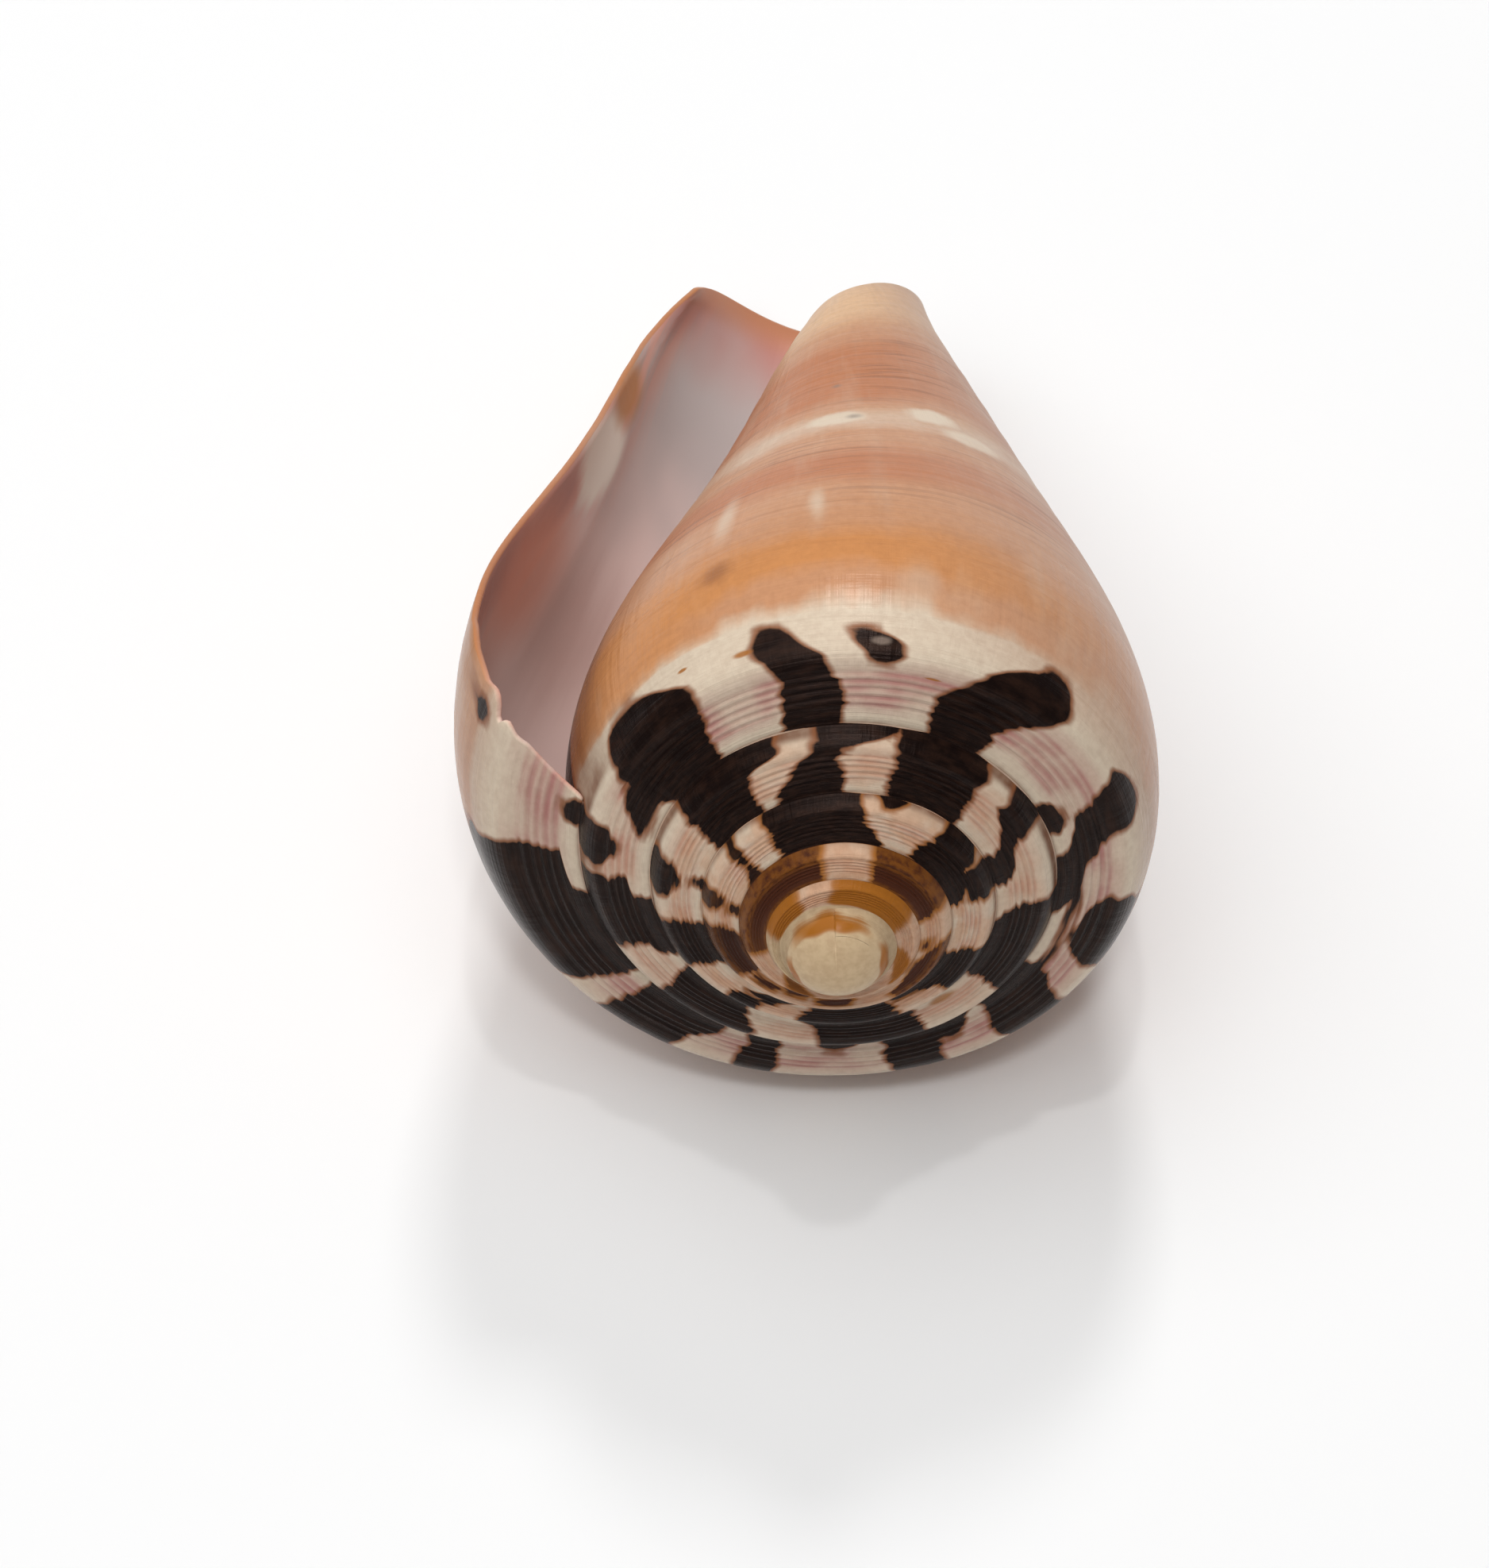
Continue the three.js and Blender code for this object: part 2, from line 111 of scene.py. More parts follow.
# ---------------------------------------------------------------- markings
# A blotch is a run of rows, each (place across the ramp, older edge, younger edge).
# Across is 0 at the suture, 0.7 where the shoulder begins to round and 1 just below it.
BLOTCHES = (
    # youngest whorl
    ((-0.1, -0.983, -0.934), (0.2, -0.999, -0.931), (0.55, -1.003, -0.929), (0.75, -0.998, -0.925),
     (0.86, -0.996, -0.928), (0.93, -0.992, -0.95), (0.965, -0.985, -0.962)),
    ((0.2, -1.04, -0.985), (0.45, -1.022, -0.985), (0.65, -1.008, -0.985)),
    ((-0.1, -0.877, -0.833), (0.3, -0.871, -0.831), (0.5, -0.87, -0.831), (0.65, -0.868, -0.838),
     (0.8, -0.876, -0.844), (0.88, -0.881, -0.855), (0.95, -0.877, -0.866)),
    ((0.755, -0.815, -0.803), (0.8, -0.817, -0.796), (0.87, -0.824, -0.801), (0.915, -0.826, -0.812)),
    ((-0.1, -0.763, -0.722), (0.33, -0.768, -0.722), (0.52, -0.767, -0.713), (0.7, -0.757, -0.702),
     (0.83, -0.743, -0.69), (0.9, -0.728, -0.694), (0.96, -0.712, -0.7)),
    ((-0.1, -0.655, -0.622), (0.12, -0.653, -0.624), (0.24, -0.645, -0.63)),
    ((-0.1, -0.597, -0.545), (0.12, -0.6, -0.548), (0.26, -0.612, -0.563), (0.38, -0.63, -0.587),
     (0.6, -0.632, -0.602), (0.85, -0.644, -0.608), (0.93, -0.63, -0.616)),
    ((0.23, -0.6, -0.47), (0.28, -0.595, -0.46)),
    ((0.38, -0.53, -0.518), (0.5, -0.548, -0.51), (0.72, -0.556, -0.503), (0.86, -0.552, -0.5),
     (0.95, -0.543, -0.517)),
    ((-0.1, -0.49, -0.443), (0.2, -0.493, -0.44), (0.4, -0.487, -0.437), (0.6, -0.477, -0.43),
     (0.93, -0.464, -0.434)),
    ((-0.1, -0.437, -0.4), (0.15, -0.425, -0.398), (0.42, -0.411, -0.403)),
    ((-0.1, -0.402, -0.362), (0.3, -0.4, -0.366), (0.6, -0.396, -0.363), (0.95, -0.391, -0.369)),
    ((-0.1, -0.35, -0.318), (0.15, -0.345, -0.322), (0.3, -0.337, -0.326)),
    ((-0.1, -0.3, -0.273), (0.35, -0.296, -0.281), (0.6, -0.299, -0.28), (0.95, -0.297, -0.279)),
    ((-0.1, -0.262, -0.2), (0.35, -0.258, -0.202), (0.6, -0.247, -0.202), (0.96, -0.241, -0.203)),
    ((-0.1, -0.183, -0.115), (0.17, -0.184, -0.112), (0.22, -0.184, -0.084), (0.6, -0.18, -0.083),
     (1.0, -0.172, -0.09)),
    ((-0.1, -0.06, -0.042), (0.15, -0.058, -0.043), (0.2, -0.056, -0.045)),
    ((0.92, -0.03, -0.022), (0.97, -0.032, -0.02), (1.0, -0.028, -0.024)),
    # second whorl
    ((-0.1, -1.99, -1.92), (0.35, -1.987, -1.92), (0.7, -1.985, -1.916), (0.79, -1.985, -1.888),
     (1.1, -1.984, -1.88)),
    ((0.76, -1.85, -1.825), (0.82, -1.852, -1.802), (0.87, -1.853, -1.786), (1.1, -1.853, -1.78)),
    ((-0.1, -1.9, -1.83), (0.2, -1.893, -1.828), (0.35, -1.882, -1.83), (0.6, -1.868, -1.835),
     (0.75, -1.857, -1.832), (0.85, -1.852, -1.825)),
    ((-0.1, -1.778, -1.7), (0.35, -1.783, -1.705), (1.1, -1.783, -1.712)),
    ((-0.1, -1.643, -1.605), (0.2, -1.64, -1.603), (0.35, -1.648, -1.613), (0.5, -1.662, -1.635),
     (0.62, -1.675, -1.645), (1.1, -1.68, -1.65)),
    ((-0.1, -1.55, -1.48), (0.35, -1.57, -1.48), (1.1, -1.573, -1.466)),
    ((-0.1, -1.4, -1.293), (0.1, -1.403, -1.3), (0.35, -1.403, -1.318), (1.1, -1.4, -1.325)),
    ((-0.1, -1.247, -1.18), (0.35, -1.255, -1.188), (0.7, -1.268, -1.197), (1.1, -1.27, -1.2)),
    ((-0.1, -1.163, -1.1), (0.28, -1.16, -1.098), (0.36, -1.147, -1.083), (1.1, -1.147, -1.087)),
    ((0.5, -1.06, -1.052), (0.7, -1.073, -1.045), (1.1, -1.073, -1.04)),
    # third whorl
    ((-0.1, -3.0, -2.965), (0.2, -2.985, -2.966), (0.3, -2.977, -2.969), (1.1, -2.976, -2.968)),
    ((-0.1, -2.925, -2.762), (0.15, -2.92, -2.775), (0.4, -2.92, -2.795), (1.1, -2.92, -2.82)),
    ((0.79, -2.782, -2.774), (0.86, -2.795, -2.762), (1.1, -2.795, -2.762)),
    ((-0.1, -2.72, -2.607), (0.35, -2.723, -2.613), (0.6, -2.712, -2.65), (1.1, -2.7, -2.672)),
    ((0.45, -2.66, -2.608), (0.6, -2.65, -2.606), (1.1, -2.64, -2.6)),
    ((-0.1, -2.52, -2.467), (0.2, -2.52, -2.44), (0.35, -2.525, -2.443), (0.5, -2.527, -2.463),
     (1.1, -2.527, -2.463)),
    ((-0.1, -2.46, -2.41), (0.25, -2.45, -2.405)),
    ((-0.1, -2.38, -2.313), (0.35, -2.4, -2.3), (1.1, -2.395, -2.293)),
    ((0.1, -2.28, -2.25), (0.25, -2.27, -2.23), (0.38, -2.26, -2.24)),
    ((0.4, -2.245, -2.225), (0.55, -2.25, -2.217), (1.1, -2.245, -2.22)),
    ((-0.1, -2.173, -2.1), (0.15, -2.168, -2.108), (1.1, -2.165, -2.11)),
    ((-0.1, -2.055, -2.04), (0.2, -2.05, -2.043)),
    ((0.5, -2.06, -2.05), (0.7, -2.075, -2.037), (1.1, -2.075, -2.037)),
    # fourth whorl
    ((-0.1, -4.06, -3.865), (1.1, -4.06, -3.865)),
    ((-0.1, -3.76, -3.617), (0.35, -3.765, -3.62), (1.1, -3.78, -3.64)),
    ((0.15, -3.56, -3.545), (0.3, -3.56, -3.545)),
    ((0.15, -3.51, -3.48), (0.35, -3.53, -3.45), (0.5, -3.54, -3.42), (1.1, -3.575, -3.43)),
    ((0.2, -3.36, -3.3), (0.6, -3.35, -3.31)),
    ((0.1, -3.29, -3.24), (0.3, -3.28, -3.25)),
    ((0.25, -3.24, -3.19), (0.5, -3.235, -3.2)),
    ((-0.1, -3.18, -3.105), (0.35, -3.183, -3.095), (1.1, -3.183, -3.097)),
    ((0.05, -3.06, -3.047), (0.3, -3.06, -3.047)),
    ((0.5, -3.055, -3.045), (0.7, -3.065, -3.04), (1.1, -3.065, -3.04)),
    # fifth whorl and the ring round the knob
    ((-0.1, -5.05, -4.935), (1.1, -5.04, -4.94)),
    ((-0.1, -4.85, -4.64), (0.35, -4.845, -4.645), (1.1, -4.82, -4.66)),
    ((0.0, -4.57, -4.53), (0.35, -4.55, -4.49), (1.1, -4.49, -4.43)),
    ((0.0, -4.23, -4.2), (0.5, -4.27, -4.23), (1.1, -4.3, -4.26)),
    ((-0.1, -4.11, -4.0), (0.35, -4.12, -4.0), (1.1, -4.13, -4.0)),
)
# Stains of the knob: turn, millimetres from the axis, half length in turns, half width in mm.
KNOB_STAINS = ((0.868, 2.32, 0.085, 0.16), (0.57, 2.3, 0.05, 0.13), (0.15, 2.2, 0.05, 0.12))
KNOB_AGE, KNOB_ACROSS = -6.0, 0.1
KNOB_REACH, KNOB_FALL = 2.9, 2.78
KNOB_EDGE, KNOB_BLEND = 2.85, 0.5
# Chips of the lip: place down the body, half width, depth in turns.
LIP_CHIPS = ((0.1, 0.025, 0.006), (0.34, 0.02, 0.003), (0.16, 0.03, -0.002))
LIP_WAVE = 0.0007
BLOTCH_CORNER = 0.22
NO_BLOTCH = -3.0

# Relief, in millimetres at the lip: cords of the ramp, its channel, ridges and growth ripples.
CORD_COUNT = 5
CORD_BAND = (0.2, 0.72)
CORD_BEND, CORD_POWER, CORD_MEAN = 0.25, 0.7, 0.4
CHANNEL_DEPTH, CHANNEL_WIDTH = 0.12, 0.05
RIDGE_HEIGHT, RIDGE_WAVES = 0.02, 170
RIPPLE_HEIGHT, RIPPLE_WAVES = 0.016, 260

# Ages over which the sheet turns old, amber and worn, older last.
OLD_AGES = (-2.9, -3.35)
AMBER_AGES = (-4.0, -4.5)
WORN_AGES = (-4.95, -5.1)
# Bands are given by where they start, are full, begin to fade and end. Places down the body are
# counted from the shoulder, and ages in turns.
GROOVED_BAND = (-0.2, 0.2, 0.85, 1.2)
LINED_BANDS = ((0.2, 0.3, 0.42, 0.5), (0.54, 0.62, 0.76, 0.85))
PALE_BAND = (0.46, 0.5, 0.53, 0.57)
ORANGE_BAND, ORANGE_AGES = (0.02, 0.06, 0.14, 0.2), (-1.3, -1.1, -0.94, -0.89)
# Ground of the body: place down the body and colour.
BODY_ZONES = (
    (0.0, "cream"), (0.03, "cream"), (0.065, "salmon"), (0.085, "salmon"), (0.11, "orange"),
    (0.15, "orange"), (0.2, "salmon"), (0.28, "salmon"), (0.33, "rust"), (0.38, "rust"),
    (0.43, "salmon"), (0.56, "salmon"), (0.61, "rust"), (0.76, "rust"), (0.83, "salmon"),
    (0.9, "tip"), (1.0, "tip"))
# Marks on the outside: colour, then age, place across, half length, half width, softness, share.
MARKS = (
    ("cream", -0.836, 1.475, 0.024, 0.02, 0.35, 0.85), ("cream", -0.757, 1.492, 0.02, 0.022, 0.35, 0.9),
    ("cream", -0.728, 1.445, 0.022, 0.02, 0.4, 0.7), ("cream", -0.902, 1.225, 0.005, 0.045, 0.95, 0.55),
    ("cream", -0.846, 1.195, 0.0035, 0.03, 0.95, 0.5), ("cream", -0.792, 1.025, 0.01, 0.035, 0.8, 0.25),
    ("line", -0.901, 1.096, 0.008, 0.016, 0.9, 0.6), ("amber", -0.926, 0.931, 0.003, 0.007, 0.4, 0.9),
    ("amber", -0.776, 0.69, 0.005, 0.014, 0.4, 0.9), ("amber", -0.888, 0.885, 0.005, 0.012, 0.5, 0.9),
    ("pit", -0.821, 1.477, 0.005, 0.006, 0.95, 0.6), ("pit", -0.836, 1.594, 0.004, 0.005, 0.95, 0.6),
    ("pit", -0.81, 0.868, 0.005, 0.018, 0.5, 0.9), ("amber", -1.437, 0.19, 0.014, 0.09, 0.5, 0.8),
    ("amber", -0.024, 1.065, 0.01, 0.04, 0.5, 0.6),
)
# Marks on the lining: the same, with turns behind the lip in place of age.
LINING_MARKS = (
    ("mauve", -0.004, 1.22, 0.02, 0.13, 0.5, 0.9), ("mauve", -0.012, 1.42, 0.012, 0.09, 0.5, 0.75),
    # the second mark on the next line is painted shade, the lip's shadow on the lining
    ("rim_red", -0.03, 1.33, 0.028, 0.1, 0.6, 0.75), ("painted_lip_shadow", -0.085, 1.36, 0.035, 0.09, 0.8, 0.6),
    ("inner_cream", -0.02, 1.575, 0.022, 0.085, 0.3, 0.95),
    ("orange", -0.01, 1.7, 0.018, 0.055, 0.5, 0.9),
)


class ShellForm(bpy.types.PropertyGroup):
    """Sizes of the shell that a user would change."""

    shoulder_radius: bpy.props.FloatProperty(
        name="Shoulder Radius", description="Shoulder to coiling axis at the lip",
        default=0.0178, unit="LENGTH", subtype="DISTANCE")
    shoulder_drop: bpy.props.FloatProperty(
        name="Spire Height", description="Apex to shoulder at the lip, along the axis",
        default=0.0105, unit="LENGTH", subtype="DISTANCE")
    body_length: bpy.props.FloatProperty(
        name="Body Length", description="Apex to the front edge, carried on to the lip",
        default=0.068, unit="LENGTH", subtype="DISTANCE")
    edge_radius: bpy.props.FloatProperty(
        name="Front Radius", description="Front edge to coiling axis at the lip",
        default=0.00948, unit="LENGTH", subtype="DISTANCE")
    growth_rate: bpy.props.FloatProperty(
        name="Growth Rate", description="Natural logarithm of the widening over one turn",
        default=0.329)
    suture_drop: bpy.props.FloatProperty(
        name="Step", description="Height of the step from whorl to whorl at the lip",
        default=0.00104, unit="LENGTH", subtype="DISTANCE")
    wall: bpy.props.FloatProperty(
        name="Wall", description="Thickness of the wall behind the lip",
        default=0.0012, unit="LENGTH", subtype="DISTANCE")
    lip: bpy.props.FloatProperty(
        name="Lip Edge", description="Thickness of the lip's edge",
        default=0.00036, unit="LENGTH", subtype="DISTANCE")
    cord_height: bpy.props.FloatProperty(
        name="Cord Height", description="Height of the spiral cords on the ramp",
        default=0.00013, unit="LENGTH", subtype="DISTANCE", precision=5)
    unevenness: bpy.props.FloatProperty(
        name="Unevenness", description="Slow rise and fall of the surface",
        default=0.00010, unit="LENGTH", subtype="DISTANCE", precision=5)


def colour_property(label, text, value):
    """A colour swatch with its description and default."""
    return bpy.props.FloatVectorProperty(
        name=label, description=text, subtype="COLOR", size=3, min=0, max=1, default=value)


class ShellColours(bpy.types.PropertyGroup):
    """Colours of the shell."""

    black: colour_property("Blotch", "Middle of a blotch", (0.007, 0.0035, 0.003))
    soft_black: colour_property("Worn Blotch", "Worn parts of a blotch", (0.02, 0.009, 0.006))
    brown: colour_property("Old Blotch", "Blotches on the old whorls", (0.07, 0.02, 0.009))
    amber: colour_property("Amber", "Blotches beside the knob", (0.36, 0.125, 0.016))
    rim: colour_property("Blotch Rim", "Reddish edge of a blotch", (0.24, 0.08, 0.028))
    # partly painted shade: the suture lines stand for brown pigment and for the shade in the suture
    # creases
    seam: colour_property("Suture", "Brown lines along the sutures", (0.16, 0.055, 0.022))
    cream: colour_property("Cream", "Pale ground", (0.7, 0.585, 0.45))
    pink: colour_property("Ramp Pink", "Grooves between the cords", (0.45, 0.2, 0.18))
    old_pink: colour_property("Old Ramp Pink", "Grooves of the older whorls", (0.54, 0.21, 0.13))
    peach: colour_property("Peach", "Ground of the old whorls", (0.62, 0.34, 0.2))
    knob: colour_property("Knob", "Worn knob at the apex", (0.62, 0.46, 0.28))
    orange: colour_property("Orange", "Band under the shoulder", (0.6, 0.26, 0.095))
    salmon: colour_property("Salmon", "Middle of the body", (0.57, 0.285, 0.15))
    rust: colour_property("Rust", "Lined bands of the body", (0.5, 0.18, 0.07))
    line: colour_property("Lines", "Fine spiral lines of the body", (0.24, 0.09, 0.04))
    dull: colour_property("Dull Side", "Side of the body away from the aperture", (0.47, 0.28, 0.19))
    tip: colour_property("Tip", "Front end of the body", (0.72, 0.45, 0.25))
    pit: colour_property("Pits", "Worn pits", (0.2, 0.15, 0.12))
    lilac: colour_property("Lining", "Lining of the aperture", (0.88, 0.64, 0.58))
    blue: colour_property("Cool Lining", "Cooler clouds of the lining", (0.5, 0.42, 0.4))
    # painted shadow: this dark cloud behind the lip is painted shade cast by the lip on the lining
    painted_lip_shadow: colour_property("Lining Shade", "Dark cloud behind the lip", (0.58, 0.34, 0.29))
    mauve: colour_property("Lip Streaks", "Streaks behind the lip", (0.56, 0.28, 0.25))
    rim_red: colour_property("Lip Red", "Reddish border of the lining", (0.92, 0.38, 0.26))
    front_red: colour_property("Front Red", "Pinkish border along the front edge", (0.5, 0.17, 0.13))
    inner_cream: colour_property("Lining Cream", "Cream patch of the lining", (1.0, 0.9, 0.78))
    lip_edge: colour_property("Lip Edge", "Broken edge of the lip", (0.5, 0.2, 0.08))


class StageSettings(bpy.types.PropertyGroup):
    """Floor, light and camera."""

    focal: bpy.props.FloatProperty(
        name="Focal Length", description="Camera focal length", default=98.5,
        unit="CAMERA")
    distance: bpy.props.FloatProperty(
        name="Distance", description="Camera to the coiling axis's apex", default=0.2037,
        unit="LENGTH", subtype="DISTANCE")
    key: bpy.props.FloatProperty(
        name="Key Light", description="Power of the small light from behind", default=1.2,
        unit="POWER")
    sky: bpy.props.FloatProperty(
        name="Sky Light", description="Power of the wide overhead light", default=2.3,
        unit="POWER")
    spark: bpy.props.FloatProperty(
        name="Spark Light", description="Power of the small overhead light", default=0.3,
        unit="POWER")
    fill: bpy.props.FloatProperty(
        name="Fill Light", description="Power of the front light", default=0.5,
        unit="POWER")


# ---------------------------------------------------------------- shape of the sheet
def smooth(v):
    """Three v squared less two v cubed, with v held between 0 and 1."""
    v = np.clip(v, 0, 1)
    return v * v * (3 - 2 * v)


def mix(a, b, k):
    """The point a share k of the way from a to b, for pairs of radius and height."""
    return a[0] + (b[0] - a[0]) * k, a[1] + (b[1] - a[1]) * k


def polynomial(numbers, v):
    """Sum of each number times v to the power of its place."""
    return sum(c * v**n for n, c in enumerate(numbers))


class Coil:
    """Profile of the growing sheet: radius and height as functions of age and of row."""

    def __init__(self, form):
        self.form = form
        self.rate = form.growth_rate

    def growth(self, age):
        """Size at an age over size at the lip: e to the power of rate times age."""
        return np.exp(self.rate * age)

    def shoulder(self, age):
        """Corner between ramp and body. The radius grows as the coil, the height a little slower."""
        g = self.growth(age)
        return self.form.shoulder_radius / MM * g, -self.form.shoulder_drop / MM * g**DROP_POWER

    def suture(self, age):
        """Seam with the whorl before: just below that whorl's shoulder."""
        r, z = self.shoulder(age - 1)
        return r * SUTURE_RADIUS_RATIO, z - self.form.suture_drop / MM * self.growth(age)

    def edge(self, age):
        """Front edge. Radius is an exponential of a quadratic in age; height is a quadratic in
        age, cut back in an exponential near the lip and dipping at the columella's tip."""
        radius = self.form.edge_radius / MM * np.exp(EDGE_GROWTH[0] * age + EDGE_GROWTH[1] * age * age)
        young = np.maximum(age, -1)
        corner = CORNER_CUT * np.exp(np.minimum(age - sum(LIP_CURVE), 0) / CORNER_WIDTH)
        length = 1 + EDGE_RISE[0] * young + EDGE_RISE[1] * young * young - corner
        z = -self.form.body_length / MM * length
        z = z - TIP_DIP * smooth((age + 1) / (TIP_DIP_AGE + 1))
        return radius, z + TIP_RISE * smooth((age - TIP_DIP_AGE) / (-2 - TIP_DIP_AGE))

    def body(self, age, u):
        """Body wall: the straight line from shoulder to edge, plus three smooth bulges and the
        swelling of the old notch, each a polynomial in u that is zero at both ends."""
        top = self.shoulder(age)
        r, z = mix(top, self.edge(age), u)
        v = 1 - u
        low = 9.5 * u**3 * v
        swell = np.exp(-(((age - SWELL_AGE) / SWELL_WIDTH) ** 2))
        bulge = BULGE_HIGH * 9.5 * u * v**3
        bulge = bulge + (BULGE_MIDDLE[0] + BULGE_MIDDLE[1] * age) * 16 * u * u * v * v
        bulge = bulge + (BULGE_LOW[0] + BULGE_LOW[1] * age) * low
        bulge = bulge + swell * (SWELL_WIDE * low + SWELL_NARROW * 17.65 * u**6 * v)
        return r + top[0] * bulge, z

    def suture_share(self, age):
        """Where the next whorl's seam lies on this body wall, from 0 at the shoulder."""
        drop = self.form.suture_drop / MM * self.growth(age + 1)
        return drop / (self.shoulder(age)[1] - self.edge(age)[1])

    def rounded(self, age, k):
        """Rounded shoulder: a quadratic curve from the ramp to the body round the corner."""
        start = mix(self.suture(age), self.shoulder(age), SHOULDER_SHARE)
        end = self.body(age, SHOULDER_ON_BODY)
        corner = self.shoulder(age)
        chord = mix(start, end, 0.5)
        corner = tuple(v + SHOULDER_FULLNESS * (v - c) / 2 for v, c in zip(corner, chord))
        return mix(mix(start, corner, k), mix(corner, end, k), k)

    def profile(self, age, row):
        """Radius, height and place across the sheet for arrays of ages and rows."""
        age, row = np.broadcast_arrays(np.asarray(age, float), np.asarray(row, float))
        share = self.suture_share(age)
        reach = np.sqrt(share / SHOULDER_ON_BODY)
        ramp_k = np.clip(row / RAMP_ROWS, 0, 1) * SHOULDER_SHARE
        ramp = mix(self.suture(age), self.shoulder(age), ramp_k)
        k = np.clip((row - RAMP_ROWS) / SHOULDER_ROWS, 0, 1)
        turn = self.rounded(age, k * reach)
        hold = smooth((-0.8 - age) / 0.2) * k * k
        target = self.suture(age + 1)
        natural = self.rounded(age, reach)
        turn = tuple(v + hold * (t - n) for v, t, n in zip(turn, target, natural))
        wall = self.form.wall / MM * np.minimum(1, self.growth(age + 1))
        glue = share + wall / (self.form.body_length / MM) * 1.1
        body_k = np.clip((row - CAVITY_ROW) / BODY_ROWS, 0, 1)
        u = glue + (1 - glue) * body_k**1.15
        wall_point = self.body(age, u)
        glue_k = np.clip((row - SUTURE_ROW) / (CAVITY_ROW - SUTURE_ROW), 0, 1)
        turn = mix(turn, self.body(age, glue), glue_k)
        across_turn = SHOULDER_SHARE + (1 - SHOULDER_SHARE) * k * reach
        across_glue = across_turn + (1 + glue - SHOULDER_ON_BODY - across_turn) * glue_k
        on_ramp, on_body = row <= RAMP_ROWS, row >= CAVITY_ROW
        r = np.where(on_ramp, ramp[0], np.where(on_body, wall_point[0], turn[0]))
        z = np.where(on_ramp, ramp[1], np.where(on_body, wall_point[1], turn[1]))
        across = np.where(on_body, 1 + u - SHOULDER_ON_BODY, across_glue)
        across = np.where(on_ramp, ramp_k, across)
        return r, z, across

    def lip_age(self, column_age, row):
        """Age with the lip's lean: a cubic down the body that fades out behind the lip."""
        u = np.clip((row - RAMP_ROWS - 4) / (EDGE_ROW - RAMP_ROWS - 4), 0, 1)
        lean = (polynomial(LIP_CURVE, u) - SUTURE_END) * np.clip(row / (RAMP_ROWS + 4), 0, 1)
        chip = sum(d * np.exp(-(((u - at) / half) ** 2)) for at, half, d in LIP_CHIPS)
        chip = (chip + LIP_WAVE * waves(u * 60, u * 25, 8)) * np.exp(column_age / 0.02) * smooth(u * 10)
        return column_age + SUTURE_END + lean * (1 - smooth(-column_age / LIP_FADE)) - chip


def waves(a, b, seed, count=6):
    """Smooth unevenness: a sum of sines of two coordinates with fixed odd periods."""
    draws = np.random.default_rng(seed)
    total = np.zeros(np.broadcast(a, b).shape)
    for _ in range(count):
        fa, fb, phase = draws.uniform(0.4, 1.6), draws.uniform(0.4, 1.6), draws.uniform(0, TAU)
        total += np.sin(fa * a + fb * b * draws.choice((-1, 1)) + phase)
    return total / count


def relief(coil, age, across):
    """Height of the surface over the plain sheet: cords across the ramp as a raised cosine, a
    channel at the suture, sine ridges down the body, slow unevenness and growth ripples."""
    g = coil.growth(age)
    low, high = CORD_BAND
    place = (across - low) / (high - low)
    band = smooth(place * 6) * smooth((1 - place) * 5)
    bend = CORD_BEND * waves(age * 22, across * 6, 11)
    cords = band * (0.5 + 0.5 * np.cos(TAU * (CORD_COUNT * place + bend))) ** CORD_POWER
    height = coil.form.cord_height / MM * np.sqrt(g) * (cords - CORD_MEAN * band)
    channel = -CHANNEL_DEPTH * g * np.exp(-((across / CHANNEL_WIDTH) ** 2))
    body = smooth((across - 1.2) / 0.4) * smooth((1.93 - across) / 0.1)
    ridges = RIDGE_HEIGHT * body * np.sin(across * RIDGE_WAVES + 0.6 * np.sin(age * 9))
    slow = coil.form.unevenness / MM * g * waves(age * 30, across * 7, 3)
    ripple = RIPPLE_HEIGHT * g * waves(age * RIPPLE_WAVES, across * 2, 5)
    return height + channel + ridges + slow * smooth(across * 3) + ripple


def blotch_depth(coil, age, across):
    """Millimetres inside the nearest blotch: the least distance to its four sides, rounded."""
    depth = np.full(age.shape, NO_BLOTCH)
    g = coil.growth(age)
    around = TAU * coil.shoulder(age)[0]
    for rows in BLOTCHES:
        places, older, younger = (np.array(c) for c in zip(*rows))
        near = (age > older.min() - 0.06) & (age < younger.max() + 0.06)
        a, w = age[near], across[near]
        side = np.minimum(a - np.interp(w, places, older), np.interp(w, places, younger) - a)
        scale = np.where(w < SHOULDER_SHARE, 5.0, 14.0) * g[near]
        ends = np.minimum(w - places[0], places[-1] - w) * scale
        side = side * around[near]
        k = BLOTCH_CORNER * np.sqrt(g[near])
        inside = -k * np.log(sum(np.exp(np.clip(-gap / k, -40, 40)) for gap in (side, ends)))
        depth[near] = np.maximum(depth[near], inside)
    return depth


class Skin:
    """Vertices, faces and vertex values of the closed sheet while it is being put together."""

    def __init__(self):
        self.points, self.values, self.faces, self.count = [], [], [], 0

    def add(self, points, values):
        """Adds an array of points and their values and returns their numbers."""
        flat = points.reshape(-1, 3)
        self.points.append(flat)
        columns = [np.broadcast_to(value, points.shape[:-1]).ravel() for value in values]
        self.values.append(np.stack(columns, 1))
        ids = np.arange(self.count, self.count + len(flat)).reshape(points.shape[:-1])
        self.count += len(flat)
        return ids

    def quads(self, a, b, c, d):
        """One four-sided face for each place in the four arrays of numbers."""
        self.faces.append(np.stack([a.ravel(), b.ravel(), c.ravel(), d.ravel()], 1))

    def strip(self, lower, upper):
        """Faces between two rows of vertices of the same length."""
        self.quads(lower[:-1], upper[:-1], upper[1:], lower[1:])

    def at(self, ids):
        """Points with these numbers."""
        return np.concatenate(self.points)[ids]

    def value(self, ids):
        """Values of the vertices with these numbers, one row each."""
        return np.concatenate(self.values)[ids]


def turned(age, radius, height):
    """Points from cylindrical coordinates. The shell coils to the right as age rises."""
    angle = -TAU * age
    return np.stack([radius * np.cos(angle), radius * np.sin(angle), height], -1)


